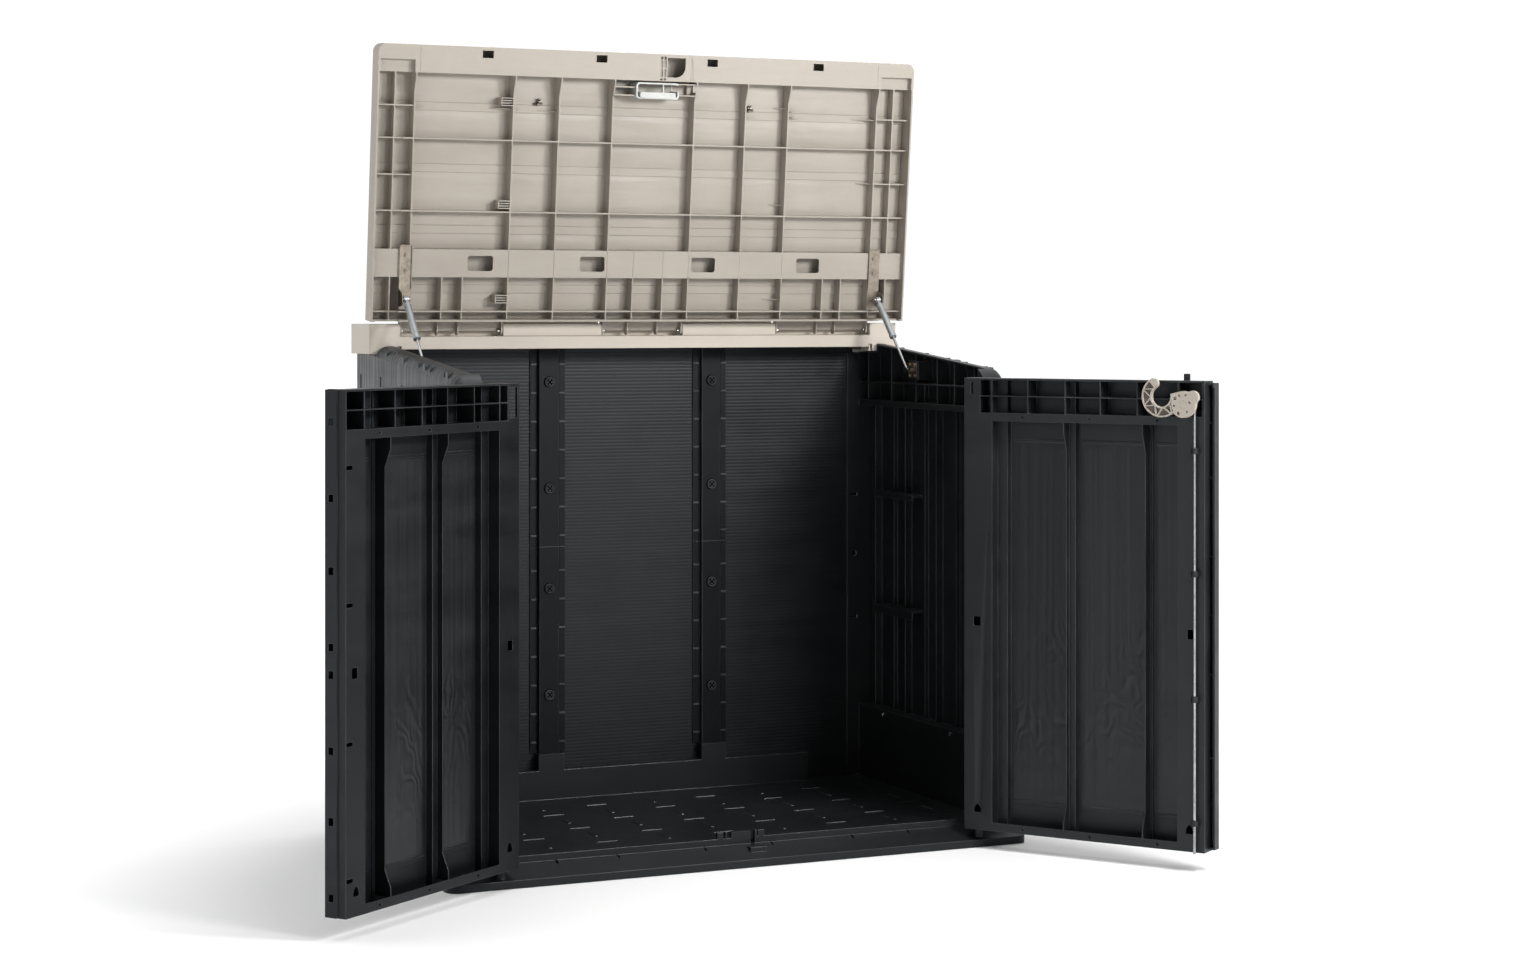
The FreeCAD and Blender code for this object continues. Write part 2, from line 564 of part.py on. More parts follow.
for x in (-393, -133, 133, 393):
    tools.append(rbox(x - 29, x + 29, 134.7, 167.7, 24, 35, 6))
for sd in (1, -1):
    tools.append(mbox(sd, 556, 632, 550, 588, 27, 45))
    tools.append(mbox(sd, 576, 629, 20, 30, 27, 45))
    tools.append(mbox(sd, 544.6, 545.4, 562, 616, 40.2, 43))
    tools.append(cyl("x", (0, 0), "hinge_bore", min(sd * 556, sd * 566), max(sd * 556, sd * 566)))
    tools.append(cyl("x", (0, 0), "hinge_bore", min(sd * 326, sd * 336), max(sd * 326, sd * 336)))
    tools.append(cyl("x", (0, 0), "hinge_bore", min(sd * 90, sd * 99), max(sd * 90, sd * 99)))
    for y in (135, 168):
        tools.append(cyl("z", (sd * 561, y), 1.55, 20, 40))
tools += [box(24, 44, 570, 613, 35, 45), box(43, 67, 593, 613, 35, 45), poly("z", [(43, 594), (43, 570)] + [(44 + 23 * math.sin(math.radians(a)), 593 - 23 * math.cos(math.radians(a))) for a in range(0, 91, 9)] + [(67, 594)], 35, 45), box(80.2, 81.8, 562, 616, 40, 43)]
for x in (10.3, 18.4):
    for ya, yb in ((562.8, 568), (570.5, 588), (590.5, 606.5), (608.8, 615)):
        tools.append(box(x - 2.7, x + 2.7, ya, yb, 36.5, 45))
tools.append(box(95, 101, 538, 553, 18, 45))
lid = node(cut(solid, tools), "lid_panel")
lid.Placement = LID_PLA

frame = cut(rbox(-49, 53, 521, 557, -1, 43, 8), rbox(-45.5, 49.5, 524.5, 553.5, -2, 46, 5))
frame = fuse([frame, rbox(-40, 44, 523, 535.6, 0, 45.5, 3)])
o = node(cut(frame, [box(48, 56, 538, 552.8, 2, 50), cyl("y", (16.5, 37), 3.02, 515, 565)]), "lid_latch_frame")
o.Placement = LID_PLA
o = node(cyl("y", (16.5, 37), 3, 521.5, 556.5), "lid_strike_pin")
o.Placement = LID_PLA.multiply(o.Placement)
hooks = []
for x in (-263, 242):
    h = cut(fuse([box(x - 11, x + 11, 499, 502, -1, 5), box(x - 6, x + 6, 499, 502, -1, 14), cyl("x", (506, 9), 7, x - 4, x + 4), box(x - 4, x + 4, 500, 506, -1, 14)]),
            [cyl("x", (507, 9), 3.5, x - 6, x + 6), box(x - 6, x + 6, 508, 515, 9, 20)])
    hooks.append(h)
o = node(group(hooks, "lid_hooks"), "lid_hooks")
o.Placement = LID_PLA

bolts = []
for sd, nm in ((-1, "left"), (1, "right")):
    lo, hi = sorted((sd * 557, sd * 574.5))
    lo2, hi2 = sorted((sd * 556, sd * 559.4))
    tab = poly("x", [(56, 30), (95, 30), (88, 56), (82, 61), (68, 61), (62, 56)], min(sd * 573.5, sd * 575.5), max(sd * 573.5, sd * 575.5))
    br = fuse([mbox(sd, 547.5, 575.5, 51, 191, 30, 32), tab, mbox(sd, 547.5, 575.5, 189, 191, 30, 38),
               mbox(sd, 547.5, 549.5, 96, 191, 30, 35),
               cyl("x", ("anchor_t", "anchor_w"), 3, lo, hi), cyl("x", ("anchor_t", "anchor_w"), 4.6, lo2, hi2)])
    o = node(cut(br, [cyl("z", (sd * 561, y), 1.55, 25, 40) for y in (135, 168)]), "strut_bracket_%s" % nm)
    o.Placement = LID_PLA
    for y in (135, 168):
        bolts.append(fuse([cyl("z", (sd * 561, y), 4, 32, 34.4), cyl("z", (sd * 561, y), 1.5, 26.5, 33)]))
o = node(group(bolts, "bracket_screws"), "bracket_screws")
o.Placement = LID_PLA

# ---- gas struts, drawn along Z from the lid anchor ------------------------
fi = math.radians(LID_OPEN)
ay = D["lid_axis_y"] + D["anchor_t"] * math.cos(fi) - D["anchor_w"] * math.sin(fi)
az = D["lid_axis_z"] + D["anchor_t"] * math.sin(fi) + D["anchor_w"] * math.cos(fi)
dy, dz = D["stud_y"] - ay, D["stud_z"] - az
span = math.hypot(dy, dz)
turn = math.degrees(math.atan2(-dy, dz))
STRUT_PLA = PLA(V(0, ay, az), ROT(V(1, 0, 0), turn))
for sd, nm in ((-1, "left"), (1, "right")):
    sx = sd * D["strut_x"]
    tube = fuse([cyl("x", (0, 0), 7, sx - 5, sx + 5), cyl("z", (sx, 0), 4, 4, 18), cyl("z", (sx, 0), "strut_tube", 15, 118)])
    o = node(cut(tube, [cyl("x", (0, 0), 3.05, sx - 8, sx + 8), cyl("z", (sx, 0), 6, 17.5, 112), cyl("z", (sx, 0), "strut_rod + 0.06", 110, 120)]),
             "strut_cylinder_%s" % nm)
    o.Placement = STRUT_PLA
    rod = fuse([cyl("z", (sx, 0), "strut_rod", 101, span - 4), cyl("z", (sx, 0), 5.94, 101, 106), cyl("x", (0, span), 6, sx - 4, sx + 4)])
    o = node(cut(rod, [cyl("x", (0, span), 3.2, sx - 8, sx + 8)]), "strut_rod_%s" % nm)
    o.Placement = STRUT_PLA

plate_screws = []
for sd, nm in ((-1, "left"), (1, "right")):
    lo, hi = sorted((sd * 571.6, sd * 588))
    plate = fuse([mbox(sd, 578, 580, 15, 55, 987, 1022), cyl("x", ("stud_y", "stud_z"), 4, lo, hi)])
    holes = []
    for y in (22, 48):
        for z in (992, 1017):
            a, b = sorted((sd * 575, sd * 585))
            holes.append(cyl("x", (y, z), 1.55, a, b))
            a, b = sorted((sd * 575.8, sd * 578))
            c, d = sorted((sd * 577, sd * 590))
            plate_screws.append(fuse([cyl("x", (y, z), 3.4, a, b), cyl("x", (y, z), 1.5, c, d)]))
    node(cut(plate, holes), "strut_stud_plate_%s" % nm)
node(group(plate_screws, "stud_plate_screws"), "stud_plate_screws")

wall = []
for sd in (1, -1):
    for y in (184.5, -144):
        a, b = sorted((sd * 577, sd * 580))
        c, d = sorted((sd * 578, sd * 591))
        wall.append(cut(fuse([cyl("x", (y, 205), 5, a, b), cyl("x", (y, 205), 2, c, d)]),
                        [mbox(sd, 576, 578.4, y - 3, y + 3, 204.4, 205.6), mbox(sd, 576, 578.4, y - 0.6, y + 0.6, 202, 208)]))
node(group(wall, "wall_screws"), "wall_screws")

# ---- doors, drawn closed ----------------------------------------------------
yi = D["door_inner_y"]


def door_turn(sd):
    ang = -LEFT_OPEN if sd < 0 else RIGHT_OPEN
    return PLA(V(0, 0, 0), ROT(V(0, 0, 1), ang), V(sd * D["door_axis_x"], D["door_axis_y"], 0))


def dbox(sd, s0, s1, d0, d1, z0, z1):
    """s from the hinge edge, d from the inner face"""
    e = D["door_hinge_edge"]
    a, b = sorted((sd * (e - num(s0)), sd * (e - num(s1))))
    return box(a, b, yi - num(d1), yi - num(d0), z0, z1)


def dpoly(sd, pts, z0, z1):
    e = D["door_hinge_edge"]
    return poly("z", [(sd * (e - s), yi - d) for s, d in pts], z0, z1)


def dhole(sd, s, z, r, d0, d1):
    e = D["door_hinge_edge"]
    return cyl("y", (sd * (e - s), z), r, yi - d1, yi - d0)


def door(sd, label):
    W, T = D["door_width"], D["door_thick"]
    ax = (sd * D["door_axis_x"], D["door_axis_y"])
    p = [
        dbox(sd, 0, W, T - 4, T, "door_low", "door_high"),
        dbox(sd, 0, 4, 0, T, "door_low", "door_high"),
        dbox(sd, W - 6, W, 0, T, "door_low", "door_high"),
        dbox(sd, 0, W, 0, T, "door_high - door_wall", "door_high"),
        dbox(sd, 0, W, 0, T, "door_low", "door_low + door_wall"),
        dbox(sd, 0, "stile_hinge", 0, 4, "door_low", "grid_low"),
        dbox(sd, "stile_free", W, 0, 4, "door_low", "grid_low"),
        dbox(sd, D["stile_hinge"] - 4, "stile_hinge", 0, T - 2, "door_low", "door_high"),
        dbox(sd, "stile_free", D["stile_free"] + 4, 0, T - 2, "door_low", "door_high"),
        dbox(sd, 60, 490, 0, 3, "rail_door", "grid_low"),
        dbox(sd, 0, W, 0, T - 2, "grid_low - 3", "grid_low"),
        dbox(sd, 0, W, 0, T - 2, 958, 960.2),
        dbox(sd, 60, 490, 0, 3, "door_low", 58),
        # block around the upper hinge notch
        dbox(sd, 0, 38, 0, T, 898, 926),
        dbox(sd, 0, 38, 0, T, 990, "door_high"),
        dbox(sd, 34, 38, 0, T, 898, "door_high"),
        dbox(sd, 0, 38, 0, 6, 898, "door_high"),
        # lower pivot block
        dbox(sd, 0, 36, 12, T, "door_low", 76),
    ]
    for s in (148.5, 234, 313.5, 396):
        p.append(dbox(sd, s - 1.1, s + 1.1, 0, T - 2, "grid_low - 2", "door_high"))
    # board joints: flat ridges, and a fin whose ends rise to the rails
    for a, b, top in ((64, 90, 27.5), (231, 247.5, 27.5), (399, 416, 38)):
        p.append(dpoly(sd, [(a, T - 3), (b, T - 3), (b - 1.5, top), (a, top)], 42, 995))
    for m in (230, 407.5):
        x = sd * (D["door_hinge_edge"] - m)
        pts = [(yi - T + 3, 56), (yi - 1, 56), (yi - 1, 74), (yi - 14.5, 106), (yi - 14.5, 850), (yi - 1, 884), (yi - 1, 908), (yi - T + 3, 908)]
        p.append(poly("x", pts, x - 1.5, x + 1.5))
    # raised frames behind the boards
    for a, b in ((98, 224), (254, 394), (422, 480)):
        p.append(dbox(sd, a, b, T - 6, T - 3, 96, 104))
        p.append(dbox(sd, a, b, T - 6, T - 3, 862, 868))
    if sd > 0:
        p += [dbox(sd, W - 1, 557, T - 4, T, "door_low + 4", "door_high - 4"),
              dbox(sd, 553, 557, 24, T, "door_low + 4", "door_high - 4"),
              dbox(sd, W - 1, 557, 24, T, "door_low + 4", "door_low + 8"),
              dbox(sd, W - 1, 557, 24, T, "door_high - 8", "door_high - 4"),
              dbox(sd, 487, 500, 28.5, 34, 990, 1011),
              dbox(sd, 553, 557, 18, 26, 984, "door_high - 4"),
              dhole(sd, D["latch_s"], D["latch_z"], 16, 0, T - 1)]
        for z in (912, 800, 640, 520, 400, 230):
            p.append(dbox(sd, W - 1, 557, 30, 33, z - 1.5, z + 1.5))
    else:
        p.append(dbox(sd, W - 8, W, 24, 40, "door_high - 4", "door_high + 1"))
    body = fuse(p)
    t = [dbox(sd, -1, 34, 6, T + 1, 926, 990),
         dbox(sd, 44, 58, -1, 5, 928, 955)]
    for m in (80, 240):
        t.append(dpoly(sd, [(m - 6, T + 1), (m + 6, T + 1), (m + 4, T - 3), (m + 3, 31.5), (m - 3, 31.5), (m - 4, T - 3)], 30, 1005))
    t.append(dpoly(sd, [(401.5, T + 1), (413.5, T + 1), (409.5, T - 5), (405.5, T - 5)], 30, 1005))
    # window of the upper hinge
    t.append(dbox(sd, 5, 33, -1, 7, 929, 989) if sd < 0 else dbox(sd, 15, 21, -1, 7, 963, 988))
    for s in (30, 515):
        t.append(dbox(sd, s - 8, s + 8, -1, 5, 472, 492))
    for s in (31, 511):
        e = sd * (D["door_hinge_edge"] - s)
        t.append(poly("y", [(e - 8, 77), (e + 8, 77), (e + 8, 84), (e + 5, 91), (e, 96), (e - 5, 91), (e - 8, 84)], yi - 6, yi + 1))
    for s in (136, 290, 441):
        t.append(dhole(sd, s, 915, 3, -1, 5))
        t.append(dhole(sd, s, 49, 3, -1, 5))
    if sd < 0:
        for z in (855, 606, 354.5, 107):
            t.append(dbox(sd, 521, 539, -1, 5, z - 3.8, z + 3.8))
        t.append(dbox(sd, W - 3, W + 1, -1, 19, 30, 1005))
        for z in (938, 800, 668, 530, 480, 342, 214, 76):
            t.append(dbox(sd, W - 7, W + 1, 27, 38, z - 7, z + 7))
    body = cut(body, t)
    keep = fuse([body, cyl("z", ax, 9, 924, 936), cyl("z", ax, 9, 984, 992)])
    bores = [cyl("z", ax, "hinge_bore", 896, 1005), cyl("z", ax, "hinge_bore", 30, 70)]
    if sd > 0:
        bores.append(dhole(sd, D["latch_s"], D["latch_z"], 8.06, -5, T + 5))
    o = node(cut(keep, bores), label)
    o.Placement = door_turn(sd)
    return o


door(-1, "left_door")
door(1, "right_door")
hp = []
for sd in (1, -1):
    c = (sd * D["door_axis_x"], D["door_axis_y"])
    hp.append(cyl("z", c, "hinge_pin", 908, 994))
    hp.append(cyl("z", c, "hinge_pin", 7, 66))
node(group(hp, "door_hinge_pins"), "door_hinge_pins")

# ---- latch on the right door, drawn closed -----------------------------------
RIGHT = door_turn(1)
px, pz = D["door_hinge_edge"] - D["latch_s"], D["latch_z"]
cx, cz = px + 47.6, pz + 15.5
y0, y1 = yi + 27, yi + 37


def polar(r, deg, ox=None, oz=None):
    ox = cx if ox is None else ox
    oz = cz if oz is None else oz
    return (ox + r * math.cos(math.radians(deg)), oz + r * math.sin(math.radians(deg)))


def sector(a0, a1, r, ya, yb):
    n = 6
    pts = [(cx, cz)] + [polar(r, a0 + (a1 - a0) * i / n) for i in range(n + 1)]
    return poly("y", pts, ya, yb)


ring = cut(cyl("y", (cx, cz), "hook_outer", y0, y1), [cyl("y", (cx, cz), "hook_inner", y0 - 1, y1 + 1), sector(57, 165, 90, y0 - 1, y1 + 1)])
mid = (D["hook_outer"] + D["hook_inner"]) / 2
tip = cyl("y", polar(mid, 57), 10.5, y0, y1)
lobe = (px - 20, pz + 15)
disc = fuse([cyl("y", (px, pz), 27, y0, y1), cyl("y", lobe, 13, y0, y1),
             poly("y", [(px + 16.8, pz + 21.1), (lobe[0] + 9, lobe[1] + 9.4 + 0.0), (lobe[0] - 9, lobe[1] - 9.4), (px - 16.2, pz - 21.6)], y0, y1)])
pocket = cut(cyl("y", (cx, cz), 39, y1 - 6.5, y1 + 1), [cyl("y", (cx, cz), 24, y1 - 8, y1 + 2), sector(50, 196, 90, y1 - 8, y1 + 2),
                                                     cyl("y", (px, pz), 25, y1 - 8, y1 + 2)])
webs = []
for k, ang in enumerate((32, 8, -16, -40, -64, -88, -112, -136)):
    lean = 12 if k % 2 else -12
    a, b = polar(22, ang - lean), polar(43, ang + lean)
    ux, uz = b[0] - a[0], b[1] - a[1]
    L = math.hypot(ux, uz)
    nx, nz = -uz / L * 1.1, ux / L * 1.1
    webs.append(poly("y", [(a[0] + nx, a[1] + nz), (b[0] + nx, b[1] + nz), (b[0] - nx, b[1] - nz), (a[0] - nx, a[1] - nz)], y1 - 8, y1 + 2))
pocket = cut(pocket, webs)
dots = []
for dx, dzz, r in ((17, 12, 3.4), (8, 18, 2.4), (-6, 19, 2.4), (-14, 4, 2.4), (10, -18, 3.6), (-9, -15, 2.2), (19, -3, 2.2)):
    dots.append(cyl("y", (px + dx, pz + dzz), r, y1 - 5, y1 + 1))
o = node(cut(fuse([ring, tip, disc]), [pocket, cyl("y", (px, pz), "spindle + 0.02", y0 - 1, y1 + 1)] + dots), "latch_hook")
o.Placement = RIGHT
o = node(cyl("y", (px, pz), "spindle", yi - 62, y1), "latch_spindle")
o.Placement = RIGHT.multiply(o.Placement)
knob = fuse([cyl("y", (px, pz), 27, yi - 60, yi - 47.5),
             poly("z", [(px - 27, yi - 60), (px + 27, yi - 60), (px + 10, yi - 82), (px - 10, yi - 82)], pz - 8, pz + 8)])
o = node(cut(knob, [cyl("y", (px, pz), "spindle + 0.02", yi - 63, yi - 40)]), "latch_knob")
o.Placement = RIGHT
rx, ry = D["door_hinge_edge"] - D["rod_s"], yi + 9
o = node(fuse([cyl("z", (rx, ry), "rod_r", 38.9, 955.6), cyl("y", (rx, 951.5), 2.5, ry - 1, yi + 25.4)]), "lock_rod")
o.Placement = RIGHT
guides = []
for z in (855, 606, 352, 101):
    g = fuse([box(rx - 7, rx + 7, yi, yi + 10, z - 6, z + 6), cyl("z", (rx, ry), 7, z - 6, z + 6)])
    guides.append(cut(g, [cyl("z", (rx, ry), "rod_r + 0.06", z - 10, z + 10)]))
o = node(group(guides, "rod_guides"), "rod_guides")
o.Placement = RIGHT

# ---- check and write -----------------------------------------------------------
doc.recompute()
bad = [o.Label for o in doc.Objects if "Invalid" in o.State or "Error" in o.State]
if bad:
    raise RuntimeError("not computed: %s" % bad[:10])
os.makedirs("parts", exist_ok=True)
for o in NODES:
    s = o.Shape
    if s.isNull() or not s.isValid():
        raise RuntimeError("bad shape: %s" % o.Label)
    s.exportStep("parts/%s.step" % o.Label)
    b = s.BoundBox
    print("%-26s solids %2d  vol %9.1f cm3  x %.1f %.1f  y %.1f %.1f  z %.1f %.1f" % (
        o.Label, len(s.Solids), s.Volume / 1000, b.XMin, b.XMax, b.YMin, b.YMax, b.ZMin, b.ZMax))
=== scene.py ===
import bpy
import bmesh
import math
import numpy as np
from mathutils import Matrix, Vector


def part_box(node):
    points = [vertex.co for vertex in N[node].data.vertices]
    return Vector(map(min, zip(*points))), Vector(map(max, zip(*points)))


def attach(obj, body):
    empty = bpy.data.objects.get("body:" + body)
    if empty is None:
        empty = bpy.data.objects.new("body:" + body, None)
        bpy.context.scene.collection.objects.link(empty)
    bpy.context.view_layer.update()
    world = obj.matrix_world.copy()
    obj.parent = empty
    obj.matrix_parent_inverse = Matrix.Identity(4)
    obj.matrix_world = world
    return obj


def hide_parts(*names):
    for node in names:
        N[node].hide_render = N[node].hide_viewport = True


# Garden storage box, looks.  Metres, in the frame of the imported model:
# X right, Y to the back, Z up, origin under the middle of the floor.

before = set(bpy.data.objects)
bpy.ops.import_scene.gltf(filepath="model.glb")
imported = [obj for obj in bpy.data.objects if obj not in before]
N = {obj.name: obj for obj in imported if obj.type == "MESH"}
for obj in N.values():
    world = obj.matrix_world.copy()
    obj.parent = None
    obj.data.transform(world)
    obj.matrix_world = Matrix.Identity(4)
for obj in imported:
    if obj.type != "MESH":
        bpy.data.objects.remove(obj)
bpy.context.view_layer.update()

LID_TURN = math.radians(95.96)
LID_AXIS = Vector((0, 0.246, 1.095))
DOOR_TURN = {-1: math.radians(-144.3), 1: math.radians(124.9)}
DOOR_AXIS = {-1: Vector((-0.534, -0.356, 0)), 1: Vector((0.534, -0.356, 0))}


def lid_pt(x, t, w):
    """a point on the open lid: x across, t from the hinge, w out of the inner skin"""
    c, s = math.cos(LID_TURN), math.sin(LID_TURN)
    return Vector((x, LID_AXIS.y + t * c - w * s, LID_AXIS.z + t * s + w * c))


def door_pt(sd, s, d, z):
    """a point on an open door: s from the hinge edge, d outwards from the inner face"""
    x, y = sd * (0.552 - s) - DOOR_AXIS[sd].x, -0.326 - d - DOOR_AXIS[sd].y
    c, k = math.cos(DOOR_TURN[sd]), math.sin(DOOR_TURN[sd])
    return Vector((DOOR_AXIS[sd].x + x * c - y * k, DOOR_AXIS[sd].y + x * k + y * c, z))


# ---- smooth value noise, the same on every run -------------------------------
TABLE = np.random.RandomState(11).rand(256, 256)


def vnoise(x, y, seed=0):
    x, y = np.asarray(x, float) + seed * 17.31, np.asarray(y, float) + seed * 41.77
    i, j = np.floor(x).astype(int), np.floor(y).astype(int)
    u, v = x - i, y - j
    u, v = u * u * (3 - 2 * u), v * v * (3 - 2 * v)
    a, b = TABLE[i % 256, j % 256], TABLE[(i + 1) % 256, j % 256]
    c, d = TABLE[i % 256, (j + 1) % 256], TABLE[(i + 1) % 256, (j + 1) % 256]
    return (a * (1 - u) + b * u) * (1 - v) + (c * (1 - u) + d * u) * v - 0.5


# ---- materials ---------------------------------------------------------------
class Net:
    """one procedural material"""

    def __init__(self, name):
        self.m = bpy.data.materials.new(name)
        self.m.use_nodes = True
        self.t = self.m.node_tree
        self.t.nodes.clear()
        out = self.t.nodes.new("ShaderNodeOutputMaterial")
        self.p = self.t.nodes.new("ShaderNodeBsdfPrincipled")
        self.t.links.new(self.p.outputs["BSDF"], out.inputs["Surface"])
        co = self.t.nodes.new("ShaderNodeTexCoord")
        self.at, self.facing = co.outputs["Object"], co.outputs["Normal"]

    def add(self, kind, out=0, props=None, **sockets):
        n = self.t.nodes.new(kind)
        for k, v in (props or {}).items():
            setattr(n, k, v)
        for k, v in sockets.items():
            key = int(k[1:]) if k[0] == "i" and k[1:].isdigit() else k.replace("_", " ")
            self.put(n.inputs[key], v)
        return n.outputs[out]

    def put(self, socket, v):
        if isinstance(v, bpy.types.NodeSocket):
            self.t.links.new(v, socket)
        else:
            socket.default_value = v

    def set(self, **sockets):
        for k, v in sockets.items():
            self.put(self.p.inputs[k.replace("_", " ")], v)

    def math(self, op, a, b=0.0, clamp=False):
        return self.add("ShaderNodeMath", props={"operation": op, "use_clamp": clamp}, i0=a, i1=b)

    def noise(self, vec, scale, detail=3.0, rough=0.55, distort=0.0):
        return self.add("ShaderNodeTexNoise", Vector=vec, Scale=scale, Detail=detail, Roughness=rough, Distortion=distort)

    def remap(self, v, a, b, lo, hi):
        return self.add("ShaderNodeMapRange", Value=v, From_Min=a, From_Max=b, To_Min=lo, To_Max=hi)

    def place(self, loc=(0, 0, 0), rot=(0, 0, 0), scale=(1, 1, 1), vec=None):
        return self.add("ShaderNodeMapping", Vector=vec or self.at, Location=loc, Rotation=rot, Scale=scale)

    def blend(self, f, a, b):
        n = self.t.nodes.new("ShaderNodeMix")
        n.data_type = "RGBA"
        self.put(n.inputs[0], f)
        self.put(n.inputs[6], (*a, 1) if isinstance(a, tuple) else a)
        self.put(n.inputs[7], (*b, 1) if isinstance(b, tuple) else b)
        return n.outputs[2]

    def bump(self, height, strength, distance, under=None):
        n = self.t.nodes.new("ShaderNodeBump")
        n.inputs["Strength"].default_value = strength
        n.inputs["Distance"].default_value = distance
        self.put(n.inputs["Height"], height)
        if under is not None:
            self.put(n.inputs["Normal"], under)
        return n.outputs["Normal"]

    def faces(self, way, lo=0.8, hi=0.95):
        """1 where the surface faces that way, in the piece's own frame"""
        d = self.add("ShaderNodeVectorMath", out=1, props={"operation": "DOT_PRODUCT"}, i0=self.facing, i1=way)
        return self.remap(d, lo, hi, 0.0, 1.0)


DARK_A, DARK_B = (0.0042, 0.0046, 0.0053), (0.0068, 0.0072, 0.0080)
BEIGE_A, BEIGE_B = (0.300, 0.267, 0.227), (0.354, 0.319, 0.275)


def wood(net, vec, stretch):
    """height of a grain that runs along the axis where stretch is small"""
    streak = net.noise(net.place(vec=vec, scale=stretch), 1.0, 6.0, 0.62)
    wide = net.noise(net.place(vec=vec, scale=tuple(k * 0.22 for k in stretch)), 1.0, 2.0, 0.5, 0.6)
    ring = net.math("SINE", net.math("MULTIPLY", wide, 58.0))
    ring = net.remap(ring, -1.0, 1.0, 0.0, 1.0)
    return net.add("ShaderNodeMix", Factor=0.42, i2=streak, i3=ring)


def dark(name, vec=None, outside=None, stretch=None, rough=(0.40, 0.56), grain=1.0, edge=False, shade=1.0, reach=(0.8, 0.95), sheen=0.5):
    net = Net(name)
    at = net.at
    blot = net.noise(at, 9.0, 4.0, 0.6)
    flow = net.noise(net.place(scale=(3, 3, 26)), 1.0, 3.0, 0.55)
    tone = net.add("ShaderNodeMix", Factor=0.5, i2=blot, i3=flow)
    a, b = tuple(c * shade for c in DARK_A), tuple(c * shade for c in DARK_B)
    col = net.blend(net.remap(tone, 0.35, 0.65, 0.0, 1.0), a, b)
    fine = net.noise(at, 1500.0, 2.0, 0.6)
    wavy = net.noise(at, 22.0, 2.0, 0.5)
    normal = net.bump(wavy, 0.16, 0.0025)
    normal = net.bump(fine, 0.16 * grain, 0.00022, normal)
    rg = net.remap(tone, 0.35, 0.65, rough[0], rough[1])
    if outside is not None:
        mask = net.faces(outside, *reach)
        src = net.place(**vec) if vec else at
        grain_h = wood(net, src, stretch)
        height = net.math("MULTIPLY", grain_h, mask)
        normal = net.bump(height, 0.95, 0.0024, normal)
        # outside faces are lighter on the grain's ridges
        grain_tone = net.math("MULTIPLY", net.remap(grain_h, 0.45, 0.72, 0.0, 1.0), mask)
        col = net.blend(net.math("MULTIPLY", grain_tone, 0.55), col, tuple(c * 2.6 for c in b))
    # edge=True paints a highlight: the colour is lifted up to seven times, standing in for the light that edges catch
    if edge:
        col = net.blend(net.remap(blot, 0.4, 0.62, 0.25, 1.0), col, tuple(c * 7.0 for c in b))
    net.set(Base_Color=col, Roughness=rg, Normal=normal)
    net.p.inputs["Specular IOR Level"].default_value = sheen
    net.p.inputs["Specular Tint"].default_value = (0.90, 0.965, 1.0, 1.0)
    return net.m


def beige(name, vec=None, outside=None, stretch=None, edge=False, shade=1.0, rough=(0.42, 0.58)):
    net = Net(name)
    at = net.at
    src = net.place(**vec) if vec else at
    flow = net.noise(net.place(vec=src, scale=(2.2, 11, 11)), 1.0, 4.0, 0.6, 0.4)
    blot = net.noise(src, 6.0, 4.0, 0.6)
    tone = net.add("ShaderNodeMix", Factor=0.55, i2=blot, i3=flow)
    a, b = tuple(c * shade for c in BEIGE_A), tuple(c * shade for c in BEIGE_B)
    col = net.blend(net.remap(tone, 0.34, 0.66, 0.0, 1.0), a, b)
    fine = net.noise(at, 1300.0, 2.0, 0.6)
    wavy = net.noise(net.place(vec=src, scale=(9, 34, 34)), 1.0, 3.0, 0.55, 0.5)
    normal = net.bump(wavy, 0.22, 0.003)
    normal = net.bump(fine, 0.12, 0.0002, normal)
    rg = net.remap(tone, 0.34, 0.66, rough[0], rough[1])
    if outside is not None:
        mask = net.faces(outside)
        grain_h = wood(net, src, stretch)
        normal = net.bump(net.math("MULTIPLY", grain_h, mask), 0.8, 0.0014, normal)
        # outside faces are darker in the grain's hollows
        grain_tone = net.math("MULTIPLY", net.remap(grain_h, 0.36, 0.56, 1.0, 0.0), mask)
        col = net.blend(net.math("MULTIPLY", grain_tone, 0.5), col, tuple(c * 0.72 for c in a))
    # edge=True paints a highlight: a slightly lighter beige standing in for the light that edges catch
    if edge:
        col = net.blend(net.remap(blot, 0.4, 0.62, 0.3, 1.0), col, tuple(min(1, c * 1.12) for c in b))
    net.set(Base_Color=col, Roughness=rg, Normal=normal)
    net.p.inputs["Specular IOR Level"].default_value = 0.42
    return net.m


def grey(name):
    """pale grey glossy moulding of the latch frame"""
    net = Net(name)
    blot = net.noise(net.at, 34.0, 4.0, 0.6)
    fine = net.noise(net.at, 1300.0, 2.0, 0.6)
    wavy = net.noise(net.at, 60.0, 2.0, 0.5)
    net.set(Base_Color=net.blend(net.remap(blot, 0.36, 0.64, 0.0, 1.0), (0.41, 0.42, 0.40), (0.48, 0.49, 0.47)),
            Roughness=net.remap(blot, 0.36, 0.64, 0.22, 0.36), Normal=net.bump(fine, 0.1, 0.0002, net.bump(wavy, 0.2, 0.001)))
    return net.m


def metal(name, base, tint, rough, brush=(40, 40, 900), metallic=1.0):
    net = Net(name)
    blot = net.noise(net.at, 60.0, 4.0, 0.65)
    line = net.noise(net.place(scale=brush), 1.0, 3.0, 0.6)
    col = net.blend(net.remap(blot, 0.36, 0.64, 0.0, 1.0), base, tint)
    mixed = net.add("ShaderNodeMix", Factor=0.5, i2=blot, i3=line)
    net.set(Base_Color=col, Roughness=net.remap(mixed, 0.35, 0.65, rough[0], rough[1]), Normal=net.bump(line, 0.12, 0.0002))
    net.p.inputs["Metallic"].default_value = metallic
    return net.m


